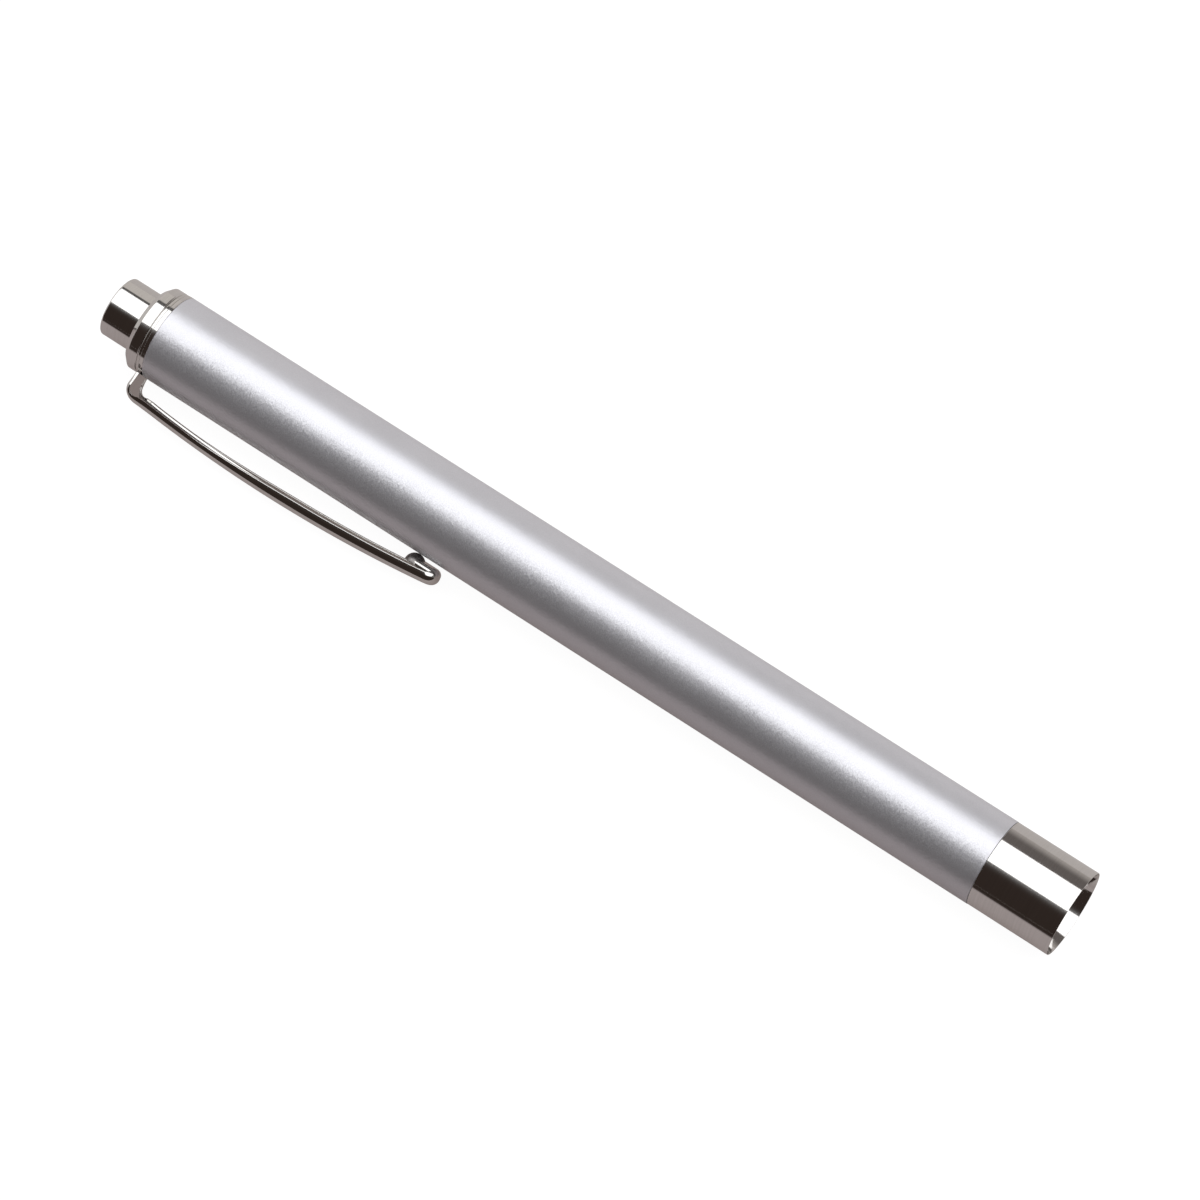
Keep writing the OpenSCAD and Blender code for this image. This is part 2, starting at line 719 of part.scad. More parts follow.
module battery_spring()
  color("lightgray")
    coil(disc_front_x + face_gap, cell_rear_x - face_gap, battery_r_rear, battery_r_front,
         battery_wire, battery_turns);

barrel();
cell_liner();
front_cell_can();
front_cell_core();
front_cell_jacket();
front_cell_seal();
front_cell_base();
rear_cell_can();
rear_cell_core();
rear_cell_jacket();
rear_cell_seal();
rear_cell_base();
head_tube();
head_seal();
reflector();
led_lens();
led_frame();
led_chip();
led_holder();
circuit_board();
resistor();
contact_pad();
front_spring();
tail_cap();
clip_ring();
clip_collar();
clip_arm();
push_button();
plunger();
rotor();
contact_stem();
cam_housing();
contact_ring();
return_spring();
battery_spring();
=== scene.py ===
import math
import bpy
import bmesh
from mathutils import Matrix, Vector


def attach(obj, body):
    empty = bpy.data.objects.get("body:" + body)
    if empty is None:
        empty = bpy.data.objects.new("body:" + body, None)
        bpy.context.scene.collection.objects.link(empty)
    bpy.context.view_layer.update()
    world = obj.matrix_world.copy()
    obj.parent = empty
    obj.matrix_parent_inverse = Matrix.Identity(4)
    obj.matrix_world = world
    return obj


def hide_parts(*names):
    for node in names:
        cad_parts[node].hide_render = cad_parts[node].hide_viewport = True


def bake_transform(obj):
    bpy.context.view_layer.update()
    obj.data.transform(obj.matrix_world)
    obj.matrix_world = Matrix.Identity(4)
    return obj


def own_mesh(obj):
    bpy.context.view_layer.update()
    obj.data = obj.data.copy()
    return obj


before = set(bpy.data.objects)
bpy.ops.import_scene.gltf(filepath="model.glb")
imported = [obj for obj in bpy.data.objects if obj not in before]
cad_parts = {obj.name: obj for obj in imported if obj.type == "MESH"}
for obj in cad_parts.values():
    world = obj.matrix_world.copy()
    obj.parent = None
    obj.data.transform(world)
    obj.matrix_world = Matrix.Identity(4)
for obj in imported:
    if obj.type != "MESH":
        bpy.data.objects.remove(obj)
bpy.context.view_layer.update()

# Penlight for two small cells. The light points along +X and lies on its barrel, its clip a hair above
# the table. Lengths in the dictionaries are in millimetres, the meshes are in metres.
mm = 0.001
print("frame loaded,", len(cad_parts), "solids")


# Small helpers for node trees

def addNode(tree, kind, **settings):
    node = tree.nodes.new(kind)
    for name, value in settings.items():
        setattr(node, name, value)
    return node


def feed(tree, socket, source):
    # A socket takes a link or a plain value; a plain colour comes without its alpha.
    if isinstance(source, bpy.types.NodeSocket):
        tree.links.new(source, socket)
    elif source is not None:
        socket.default_value = (*source, 1.0) if socket.type == "RGBA" else source


def maths(tree, operation, *terms, clamp=False):
    node = addNode(tree, "ShaderNodeMath", operation=operation, use_clamp=clamp)
    for socket, term in zip(node.inputs, terms):
        feed(tree, socket, term)
    return node.outputs[0]


def add(tree, a, b):
    return maths(tree, "ADD", a, b)


def take(tree, a, b):
    return maths(tree, "SUBTRACT", a, b)


def times(tree, a, b):
    return maths(tree, "MULTIPLY", a, b)


def over(tree, a, b, clamp=False):
    return maths(tree, "DIVIDE", a, b, clamp=clamp)


def combine(tree, *values):
    node = addNode(tree, "ShaderNodeCombineXYZ")
    for socket, value in zip(node.inputs, values):
        feed(tree, socket, value)
    return node.outputs[0]


def axes(tree, kind):
    # X, Y and Z of a place on the object, or of a direction in the world.
    place = addNode(tree, "ShaderNodeTexCoord")
    split = addNode(tree, "ShaderNodeSeparateXYZ")
    tree.links.new(place.outputs[kind], split.inputs[0])
    return split.outputs


def mapRange(tree, value, fromMin, fromMax, toMin=0.0, toMax=1.0, smooth=False):
    node = addNode(tree, "ShaderNodeMapRange", interpolation_type="SMOOTHSTEP" if smooth else "LINEAR")
    for name, source in (("Value", value), ("From Min", fromMin), ("From Max", fromMax),
                         ("To Min", toMin), ("To Max", toMax)):
        feed(tree, node.inputs[name], source)
    return node.outputs[0]


def mixColours(tree, factor, a, b):
    node = addNode(tree, "ShaderNodeMix", data_type="RGBA")
    for place, source in ((0, factor), (6, a), (7, b)):
        feed(tree, node.inputs[place], source)
    return node.outputs[2]


def addNoise(tree, vector, scale, detail, **settings):
    node = addNode(tree, "ShaderNodeTexNoise", **settings)
    for label, source in (("Vector", vector), ("Scale", scale), ("Detail", detail)):
        feed(tree, node.inputs[label], source)
    return node


# Effects that several finishes share

hazeShape = {"highest": 0.85, "coverShare": 0.5, "softness": 0.15, "wideDetail": 3.0, "fineDetail": 5.0,
             "fineTimes": 9.0}
grainShape = {"Height": 2.0, "Mottle": 4.0}   # detail of each noise


def newGroup(name, inputs, outputs):
    tree = bpy.data.node_groups.new(name, "ShaderNodeTree")
    for label, default in inputs:
        socket = tree.interface.new_socket(name=label, in_out="INPUT", socket_type="NodeSocketFloat")
        socket.default_value = default
    for label, kind in outputs:
        tree.interface.new_socket(name=label, in_out="OUTPUT", socket_type=kind)
    return tree, addNode(tree, "NodeGroupInput"), addNode(tree, "NodeGroupOutput")


def makeTurnedLinesGroup():
    # Lines of a lathe or a drawing die: dense along X, drawn out round the axis, or the other way round.
    tree, given, put = newGroup("turnedLines", [("Along", 4000.0), ("Around", 1.0), ("Detail", 2.0)],
                                [("Mask", "NodeSocketFloat")])
    along, around, detail = given.outputs[:3]
    x, y, z = axes(tree, "Object")
    angle = maths(tree, "ARCTAN2", z, y)
    far = maths(tree, "SQRT", add(tree, times(tree, y, y), times(tree, z, z)))
    place = combine(tree, times(tree, x, along), times(tree, maths(tree, "COSINE", angle), around),
                    times(tree, maths(tree, "SINE", angle), around))
    noise = addNoise(tree, place, 1.0, detail, noise_dimensions="4D")
    feed(tree, noise.inputs["W"], times(tree, far, along))
    feed(tree, put.inputs["Mask"], noise.outputs["Fac"])
    return tree


def makeHandlingGroup():
    # Soft patches where fingers have dulled the surface, with a few finer smears in them.
    tree, given, put = newGroup("handlingHaze", [("Scale", 60.0), ("Cover", 0.5)],
                                [("Mask", "NodeSocketFloat")])
    scale, cover = given.outputs[:2]
    place = addNode(tree, "ShaderNodeTexCoord").outputs["Object"]
    wide = addNoise(tree, place, scale, hazeShape["wideDetail"])
    fine = addNoise(tree, place, times(tree, scale, hazeShape["fineTimes"]), hazeShape["fineDetail"])
    low = take(tree, hazeShape["highest"], times(tree, cover, hazeShape["coverShare"]))
    high = add(tree, low, hazeShape["softness"])
    patches = mapRange(tree, wide.outputs["Fac"], low, high, smooth=True)
    feed(tree, put.inputs["Mask"], times(tree, patches, fine.outputs["Fac"]))
    return tree


def makeFlakeGroup():
    # Metal flake in lacquer: each cell has its own tone and its own small tilt.
    tree, given, put = newGroup("metalFlake", [("Size", 0.0001), ("Tilt", 0.1)],
                                [("Tone", "NodeSocketFloat"), ("Normal", "NodeSocketVector")])
    place = addNode(tree, "ShaderNodeTexCoord")
    surface = addNode(tree, "ShaderNodeNewGeometry")
    cells = addNode(tree, "ShaderNodeTexVoronoi")
    feed(tree, cells.inputs["Vector"], place.outputs["Object"])
    feed(tree, cells.inputs["Scale"], over(tree, 1.0, given.outputs["Size"]))
    lean = addNode(tree, "ShaderNodeVectorMath", operation="SUBTRACT")
    feed(tree, lean.inputs[0], cells.outputs["Color"])
    lean.inputs[1].default_value = (0.5, 0.5, 0.5)
    scaled = addNode(tree, "ShaderNodeVectorMath", operation="SCALE")
    feed(tree, scaled.inputs[0], lean.outputs[0])
    feed(tree, scaled.inputs["Scale"], given.outputs["Tilt"])
    added = addNode(tree, "ShaderNodeVectorMath", operation="ADD")
    feed(tree, added.inputs[0], surface.outputs["Normal"])
    feed(tree, added.inputs[1], scaled.outputs[0])
    level = addNode(tree, "ShaderNodeVectorMath", operation="NORMALIZE")
    feed(tree, level.inputs[0], added.outputs[0])
    split = addNode(tree, "ShaderNodeSeparateColor")
    feed(tree, split.inputs[0], cells.outputs["Color"])
    feed(tree, put.inputs["Tone"], split.outputs[1])
    feed(tree, put.inputs["Normal"], level.outputs[0])
    return tree


def makeGrainGroup():
    # Fine skin of moulded plastic, rubber and printed board.
    tree, given, put = newGroup("mouldedGrain", [("Scale", 6000.0), ("Mottle", 400.0)],
                                [("Height", "NodeSocketFloat"), ("Mottle", "NodeSocketFloat")])
    place = addNode(tree, "ShaderNodeTexCoord").outputs["Object"]
    for (label, detail), scale in zip(grainShape.items(), given.outputs):
        feed(tree, put.inputs[label], addNoise(tree, place, scale, detail).outputs["Fac"])
    return tree


groups = {
    "lines": makeTurnedLinesGroup(),
    "haze": makeHandlingGroup(),
    "flake": makeFlakeGroup(),
    "grain": makeGrainGroup(),
}
print("shared effects ready:", ", ".join(groups))


# Finishes

maskEnds = {"lines": (0.3, 0.7), "mottle": (0.2, 0.8)}   # where a noise reads as 0 and as 1


def placeGroup(tree, key, **values):
    node = addNode(tree, "ShaderNodeGroup", node_tree=groups[key])
    for label, value in values.items():
        node.inputs[label].default_value = value
    return node


def startFinish(name, look):
    material = bpy.data.materials.new(name)
    material.use_nodes = True
    tree = material.node_tree
    shader = tree.nodes["Principled BSDF"]
    plain = {"metallic": "Metallic", "coat": "Coat Weight", "coatRoughness": "Coat Roughness", "ior": "IOR",
             "transmission": "Transmission Weight"}
    for key, label in plain.items():
        if key in look:
            shader.inputs[label].default_value = look[key]
    return material, tree, shader


def hazedRoughness(tree, look):
    haze = placeGroup(tree, "haze", Scale=look["hazeScale"], Cover=look["hazeCover"])
    return mapRange(tree, haze.outputs["Mask"], 0.0, 1.0, look["roughness"], look["hazeRoughness"])


def addBump(tree, shader, depth, height, normal=None):
    bump = addNode(tree, "ShaderNodeBump")
    bump.inputs["Strength"].default_value = 1.0
    bump.inputs["Distance"].default_value = depth * mm
    feed(tree, bump.inputs["Height"], height)
    feed(tree, bump.inputs["Normal"], normal)
    feed(tree, shader.inputs["Normal"], bump.outputs[0])


def metalFinish(name, look):
    material, tree, shader = startFinish(name, look)
    lines = placeGroup(tree, "lines", Along=look["along"], Around=look["around"]).outputs["Mask"]
    scratched = times(tree, take(tree, lines, 0.5), look["lineRoughness"])
    feed(tree, shader.inputs["Roughness"], add(tree, hazedRoughness(tree, look), scratched))
    tone = mapRange(tree, lines, *maskEnds["lines"])
    feed(tree, shader.inputs["Base Color"], mixColours(tree, tone, look["dark"], look["colour"]))
    addBump(tree, shader, look["lineDepth"], lines)
    return material


def lacquerFinish(name, look):
    material, tree, shader = startFinish(name, look)
    flake = placeGroup(tree, "flake", Size=look["flakeSize"] * mm, Tilt=look["flakeTilt"])
    peel = placeGroup(tree, "grain", Scale=look["peelScale"], Mottle=look["mottleScale"])
    tone = add(tree, times(tree, flake.outputs["Tone"], look["flakeShare"]),
               times(tree, peel.outputs["Mottle"], 1.0 - look["flakeShare"]))
    feed(tree, shader.inputs["Base Color"], mixColours(tree, tone, look["dark"], look["colour"]))
    feed(tree, shader.inputs["Roughness"], hazedRoughness(tree, look))
    addBump(tree, shader, look["peelDepth"], peel.outputs["Height"], flake.outputs["Normal"])
    return material


def mouldedFinish(name, look):
    material, tree, shader = startFinish(name, look)
    grain = placeGroup(tree, "grain", Scale=look["grainScale"], Mottle=look["mottleScale"])
    mottle = grain.outputs["Mottle"]
    feed(tree, shader.inputs["Base Color"], mixColours(tree, mottle, look["dark"], look["colour"]))
    dullest = look["roughness"] + look["spread"]
    feed(tree, shader.inputs["Roughness"],
         mapRange(tree, mottle, *maskEnds["mottle"], look["roughness"], dullest))
    addBump(tree, shader, look["grainDepth"], grain.outputs["Height"])
    return material


# What a finish doesn't say itself it takes from the common values of its kind.
metalCommon = {"metallic": 1.0, "hazeCover": 0.6}
mouldedCommon = {"spread": 0.12, "grainScale": 5000.0, "mottleScale": 400.0, "grainDepth": 0.002}
metalLooks = {
    "brightChrome": {"colour": (0.86, 0.85, 0.84), "dark": (0.80, 0.79, 0.775), "roughness": 0.085,
                     "hazeRoughness": 0.13, "hazeScale": 90.0, "hazeCover": 0.5, "along": 5200.0,
                     "around": 0.6, "lineRoughness": 0.02, "lineDepth": 0.00006},
    "pressedSteel": {"colour": (0.84, 0.83, 0.81), "dark": (0.76, 0.75, 0.73), "roughness": 0.075,
                     "hazeRoughness": 0.15, "hazeScale": 120.0, "along": 300.0, "around": 240.0,
                     "lineRoughness": 0.05, "lineDepth": 0.00025},
    # The dome's steel: rougher than the clip's pressed steel, with its colour painted dark as painted shade,
    # though it is the same sheet.
    "dullSteel": {"colour": (0.34, 0.325, 0.32), "dark": (0.27, 0.258, 0.254), "roughness": 0.36,
                  "hazeRoughness": 0.46, "hazeScale": 300.0, "along": 300.0, "around": 240.0,
                  "lineRoughness": 0.05, "lineDepth": 0.00025},
    "mirrorCup": {"colour": (0.90, 0.90, 0.90), "dark": (0.84, 0.84, 0.85), "roughness": 0.04,
                  "hazeRoughness": 0.12, "hazeScale": 200.0, "hazeCover": 0.5, "along": 900.0, "around": 3.0,
                  "lineRoughness": 0.02, "lineDepth": 0.0004},
    "springSteel": {"colour": (0.72, 0.72, 0.73), "dark": (0.50, 0.50, 0.52), "roughness": 0.22,
                    "hazeRoughness": 0.36, "hazeScale": 300.0, "along": 900.0, "around": 60.0,
                    "lineRoughness": 0.1, "lineDepth": 0.0006},
    "silveredLead": {"colour": (0.78, 0.77, 0.74), "dark": (0.62, 0.61, 0.58), "roughness": 0.28,
                     "hazeRoughness": 0.42, "hazeScale": 400.0, "along": 800.0, "around": 30.0,
                     "lineRoughness": 0.08, "lineDepth": 0.0008},
    "contactBrass": {"colour": (0.80, 0.62, 0.30), "dark": (0.62, 0.45, 0.20), "roughness": 0.24,
                     "hazeRoughness": 0.42, "hazeScale": 260.0, "hazeCover": 0.7, "along": 2600.0,
                     "around": 2.0, "lineRoughness": 0.1, "lineDepth": 0.0006},
    "platedCan": {"colour": (0.76, 0.76, 0.76), "dark": (0.60, 0.60, 0.61), "roughness": 0.26,
                  "hazeRoughness": 0.4, "hazeScale": 220.0, "along": 1800.0, "around": 2.0,
                  "lineRoughness": 0.08, "lineDepth": 0.0006},
}
lacquerLooks = {
    "lilacLacquer": {"colour": (0.855, 0.863, 0.908), "dark": (0.715, 0.721, 0.768), "metallic": 0.78,
                     "roughness": 0.39, "hazeRoughness": 0.45, "hazeScale": 45.0, "hazeCover": 0.6,
                     "flakeSize": 0.07, "flakeTilt": 0.16, "flakeShare": 0.55, "peelScale": 1500.0,
                     "peelDepth": 0.0006, "mottleScale": 180.0, "coat": 0.25, "coatRoughness": 0.2},
}
mouldedLooks = {
    "sealRubber": {"colour": (0.030, 0.030, 0.032), "dark": (0.016, 0.016, 0.017), "roughness": 0.5,
                   "spread": 0.15, "mottleScale": 700.0},
    "holderPlastic": {"colour": (0.060, 0.060, 0.065), "dark": (0.040, 0.040, 0.044), "roughness": 0.42,
                      "grainScale": 6000.0, "mottleScale": 500.0},
    "boardGreen": {"colour": (0.035, 0.20, 0.075), "dark": (0.022, 0.13, 0.05), "roughness": 0.3,
                   "spread": 0.15, "grainScale": 4000.0, "mottleScale": 900.0, "coat": 0.4,
                   "coatRoughness": 0.15},
    "resistorBody": {"colour": (0.035, 0.035, 0.04), "dark": (0.02, 0.02, 0.022), "roughness": 0.35,
                     "spread": 0.1, "grainScale": 9000.0, "mottleScale": 2500.0, "grainDepth": 0.001},
    "lampPhosphor": {"colour": (0.90, 0.72, 0.12), "dark": (0.80, 0.58, 0.06), "roughness": 0.6,
                     "spread": 0.15, "grainScale": 12000.0, "mottleScale": 5000.0},
    "plungerPlastic": {"colour": (0.72, 0.12, 0.06), "dark": (0.60, 0.09, 0.045), "roughness": 0.38},
    "rotorPlastic": {"colour": (0.80, 0.76, 0.62), "dark": (0.72, 0.67, 0.52), "roughness": 0.36},
    "housingPlastic": {"colour": (0.78, 0.78, 0.77), "dark": (0.70, 0.70, 0.69), "roughness": 0.4},
    "linerFilm": {"colour": (0.78, 0.76, 0.70), "dark": (0.70, 0.68, 0.61), "roughness": 0.34,
                  "spread": 0.14, "grainScale": 3000.0, "mottleScale": 260.0},
    "cellFilling": {"colour": (0.050, 0.050, 0.050), "dark": (0.030, 0.030, 0.030), "roughness": 0.7,
                    "spread": 0.15, "grainScale": 2500.0, "mottleScale": 900.0, "grainDepth": 0.006},
    "cellJacket": {"colour": (0.030, 0.16, 0.085), "dark": (0.022, 0.12, 0.065), "roughness": 0.24,
                   "spread": 0.1, "grainScale": 2500.0, "mottleScale": 160.0, "grainDepth": 0.001,
                   "coat": 0.5, "coatRoughness": 0.1},
    "cellSeal": {"colour": (0.72, 0.66, 0.42), "dark": (0.62, 0.55, 0.32), "roughness": 0.42,
                 "mottleScale": 500.0},
    "clearEpoxy": {"colour": (0.97, 0.985, 1.0), "dark": (0.94, 0.965, 0.99), "roughness": 0.02,
                   "spread": 0.03, "grainScale": 1200.0, "mottleScale": 300.0, "grainDepth": 0.0004,
                   "transmission": 1.0, "ior": 1.52},
}
finishes = {}
for makeFinish, common, looks in ((metalFinish, metalCommon, metalLooks), (lacquerFinish, {}, lacquerLooks),
                                  (mouldedFinish, mouldedCommon, mouldedLooks)):
    for name, look in looks.items():
        finishes[name] = makeFinish(name, {**common, **look})
print("finishes made:", len(finishes))


# Meshes and turned pieces

meshing = {"weld": 1e-8, "crease": 38.0, "cutCrease": 35.0}
turning = {"sides": 160, "fineSides": 192, "filletSteps": 5, "holdBack": 0.02, "longRun": 0.12,
           "filletShare": 0.48, "atAxis": 1e-6}


def arc(first, second, radius, start, end, steps):
    # Points about (first, second), from one angle to another in degrees.
    angles = [math.radians(start + (end - start) * k / steps) for k in range(steps + 1)]
    return [(first + radius * math.cos(a), second + radius * math.sin(a)) for a in angles]


def namedOutline(sizes, *corners):
    # Each corner is (radius, x) or (radius, x, fillet), by the names that the piece's dictionary has.
    return [tuple(sizes.get(value, value) for value in corner) for corner in corners]


def roundedOutline(points):
    # Straight runs get a holding point near each end.
    closed = max(points[0][0], points[-1][0]) > turning["atAxis"]
    count = len(points)
    drawn = []
    for i, point in enumerate(points):
        here = Vector(point[:2])
        fillet = point[2] if len(point) > 2 else 0.0
        if fillet == 0.0 or (not closed and i in (0, count - 1)):
            drawn.append(here)
            continue
        back = Vector(points[i - 1][:2]) - here
        ahead = Vector(points[(i + 1) % count][:2]) - here
        a, b = back.normalized(), ahead.normalized()
        half = a.angle(b) / 2
        reach = min(fillet / math.tan(half), turning["filletShare"] * min(back.length, ahead.length))
        radius = reach * math.tan(half)
        centre = here + (a + b).normalized() * (radius / math.sin(half))
        first, last = here + a * reach - centre, here + b * reach - centre
        sweep = first.angle_signed(last)
        for k in range(turning["filletSteps"] + 1):
            turn = -sweep * k / turning["filletSteps"]
            drawn.append(centre + Matrix.Rotation(turn, 2) @ first)
    full = []
    runs = len(drawn) if closed else len(drawn) - 1
    for i in range(runs):
        a, b = drawn[i], drawn[(i + 1) % len(drawn)]
        full.append(a)
        length = (b - a).length
        if length > turning["longRun"]:
            full.append(a.lerp(b, turning["holdBack"] / length))
            full.append(a.lerp(b, 1 - turning["holdBack"] / length))
    if not closed:
        full.append(drawn[-1])
    return full, closed


def addObject(name, data):
    made = bpy.data.objects.new(name, data)
    bpy.context.scene.collection.objects.link(made)
    return made


def plainMesh(piece):
    # The mesh as the piece's modifiers leave it.
    view = bpy.context.evaluated_depsgraph_get()
    return bpy.data.meshes.new_from_object(piece.evaluated_get(view))


def outwardMesh(mesh, recalculate=True):
    # Doubles are merged, and faces point outwards.
    work = bmesh.new()
    work.from_mesh(mesh)
    bmesh.ops.remove_doubles(work, verts=work.verts, dist=meshing["weld"])
    if recalculate:
        bmesh.ops.recalc_face_normals(work, faces=work.faces)
    if work.calc_volume(signed=True) < 0:
        bmesh.ops.reverse_faces(work, faces=work.faces)
    work.to_mesh(mesh)
    work.free()
    return mesh


def shadeMesh(mesh, crease):
    # Smooth but for real edges.
    mesh.shade_smooth()
    mesh.set_sharp_from_angle(angle=math.radians(crease))


def finishMesh(name, mesh, material):
    outwardMesh(mesh, recalculate=False)
    shadeMesh(mesh, meshing["crease"])
    mesh.materials.clear()
    mesh.materials.append(finishes[material])
    return addObject(name, mesh)


def turnedMesh(name, points, sides):
    outline, closed = roundedOutline(points)
    verts, rings = [], []
    for radius, x in outline:
        if radius < turning["atAxis"]:
            rings.append([len(verts)] * sides)
            verts.append((x * mm, 0, 0))
            continue
        rings.append(list(range(len(verts), len(verts) + sides)))
        verts += [(x * mm, y * mm, z * mm) for y, z in arc(0.0, 0.0, radius, 0, 360, sides)[:-1]]
    faces = []
    for i in range(len(rings) if closed else len(rings) - 1):
        a, b = rings[i], rings[(i + 1) % len(rings)]
        for k in range(sides):
            n = (k + 1) % sides
            corners = [a[k], a[n], b[n], b[k]]
            faces.append([v for j, v in enumerate(corners) if v != corners[j - 1]])
    mesh = bpy.data.meshes.new(name)
    mesh.from_pydata(verts, [], faces)
    mesh.update()
    return mesh


def turnedPiece(name, points, material, sides=turning["sides"]):
    return finishMesh(name, turnedMesh(name, points, sides), material)


# Helical pieces: springs and threads, made by one Geometry Nodes tree

sweep = {"least": 0.0001, "weld": 1e-7}


def makeHelixTree():
    tree = bpy.data.node_groups.new("helixSweep", "GeometryNodeTree")
    inputs = {"Float": ("Start X", "End X", "Start Radius", "End Radius", "Turns", "Dead Turns",
                        "Wire Across", "Wire Along", "Taper Turns"),
              "Int": ("Steps", "Sides"), "Material": ("Finish",)}
    for kind, labels in inputs.items():
        for label in labels:
            tree.interface.new_socket(name=label, in_out="INPUT", socket_type="NodeSocket" + kind)
    tree.interface.new_socket(name="Geometry", in_out="OUTPUT", socket_type="NodeSocketGeometry")
    g = addNode(tree, "NodeGroupInput").outputs
    put = addNode(tree, "NodeGroupOutput")
    columns = add(tree, g["Sides"], 1.0)
    grid = addNode(tree, "GeometryNodeMeshGrid")
    feed(tree, grid.inputs["Vertices X"], g["Steps"])
    feed(tree, grid.inputs["Vertices Y"], columns)
    index = addNode(tree, "GeometryNodeInputIndex").outputs[0]
    row = maths(tree, "FLOOR", over(tree, add(tree, index, 0.5), columns))
    column = take(tree, index, times(tree, row, columns))
    share = over(tree, take(tree, row, 1.0), take(tree, g["Steps"], 3.0), clamp=True)
    turn = times(tree, share, g["Turns"])
    left = take(tree, g["Turns"], turn)
    # The first and last ring shrink to a point, which closes the wire; a taper thins a thread's ends.
    inside = times(tree, maths(tree, "GREATER_THAN", row, 0.5),
                   maths(tree, "LESS_THAN", row, take(tree, g["Steps"], 1.5)))
    nearest = maths(tree, "MINIMUM", turn, left)
    least = sweep["least"]
    taper = over(tree, add(tree, nearest, least), add(tree, g["Taper Turns"], least), clamp=True)
    size = times(tree, inside, taper)
    around = over(tree, times(tree, column, 2 * math.pi), g["Sides"])
    # Closed end coils lie on each other, the rest of the length is shared evenly.
    dead = g["Dead Turns"]
    thick = times(tree, g["Wire Along"], 2.0)
    lowCoils = maths(tree, "MINIMUM", turn, dead)
    highCoils = maths(tree, "MAXIMUM", take(tree, dead, left), 0.0)
    openTurns = take(tree, g["Turns"], times(tree, dead, 2.0))
    openShare = over(tree, take(tree, turn, dead), openTurns, clamp=True)
    length = take(tree, take(tree, g["End X"], g["Start X"]), thick)
    openLength = take(tree, length, times(tree, thick, times(tree, dead, 2.0)))
    coils = add(tree, times(tree, openLength, openShare), times(tree, thick, add(tree, lowCoils, highCoils)))
    x = add(tree, add(tree, g["Start X"], g["Wire Along"]), coils)
    x = add(tree, x, times(tree, times(tree, maths(tree, "SINE", around), g["Wire Along"]), size))
    widening = times(tree, take(tree, g["End Radius"], g["Start Radius"]), openShare)
    radius = add(tree, g["Start Radius"], widening)
    bulge = times(tree, maths(tree, "COSINE", around), g["Wire Across"])
    radius = add(tree, radius, times(tree, bulge, size))
    angle = times(tree, turn, 2 * math.pi)
    place = combine(tree, x, times(tree, radius, maths(tree, "COSINE", angle)),
                    times(tree, radius, maths(tree, "SINE", angle)))
    moved = addNode(tree, "GeometryNodeSetPosition")
    feed(tree, moved.inputs["Geometry"], grid.outputs[0])
    feed(tree, moved.inputs["Position"], place)
    merged = addNode(tree, "GeometryNodeMergeByDistance")
    feed(tree, merged.inputs["Geometry"], moved.outputs[0])
    merged.inputs["Distance"].default_value = sweep["weld"]
    real = addNode(tree, "GeometryNodeRealizeInstances")
    feed(tree, real.inputs[0], merged.outputs[0])
    painted = addNode(tree, "GeometryNodeSetMaterial")
    feed(tree, painted.inputs["Geometry"], real.outputs[0])
    feed(tree, painted.inputs["Material"], g["Finish"])
    feed(tree, put.inputs[0], painted.outputs[0])
    return tree


helixTree = makeHelixTree()


def helixPiece(name, sizes, material):
    carrier = addObject(name + "Carrier", bpy.data.meshes.new(name + "Base"))
    modifier = carrier.modifiers.new("helix", "NODES")
    modifier.node_group = helixTree
    labels = {"Start X": "startX", "End X": "endX", "Start Radius": "startRadius", "End Radius": "endRadius",
              "Wire Across": "across", "Wire Along": "along"}
    values = {label: sizes[key] * mm for label, key in labels.items()}
    # Three more rings: one for the last step, and one at each end that closes the wire.
    values.update({"Turns": sizes["turns"], "Dead Turns": sizes.get("deadTurns", 0.0),
                   "Taper Turns": sizes.get("taperTurns", 0.0), "Sides": sizes["sides"],
                   "Steps": int(sizes["turns"] * sizes["stepsPerTurn"]) + 3, "Finish": finishes[material]})
    for item in helixTree.interface.items_tree:
        if item.item_type == "SOCKET" and item.in_out == "INPUT":
            modifier[item.identifier] = values[item.name]
    mesh = plainMesh(carrier)
    bpy.data.objects.remove(carrier)
    mesh.name = name
    return finishMesh(name, mesh, material)


# Barrel

barrel = {"outside": 6.0, "bore": 5.45, "rear": -138.49, "front": -11.84, "rearEdge": 0.06, "frontEdge": 0.04,
          "boreEdge": 0.06}
barrelPiece = turnedPiece("barrelTube", namedOutline(
    barrel, ("bore", "rear", "boreEdge"), ("outside", "rear", "rearEdge"), ("outside", "front", "frontEdge"),
    ("bore", "front", "boreEdge")), "lilacLacquer", turning["fineSides"])
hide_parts("barrel")
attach(barrelPiece, "barrel")
print("barrel done")

# Head

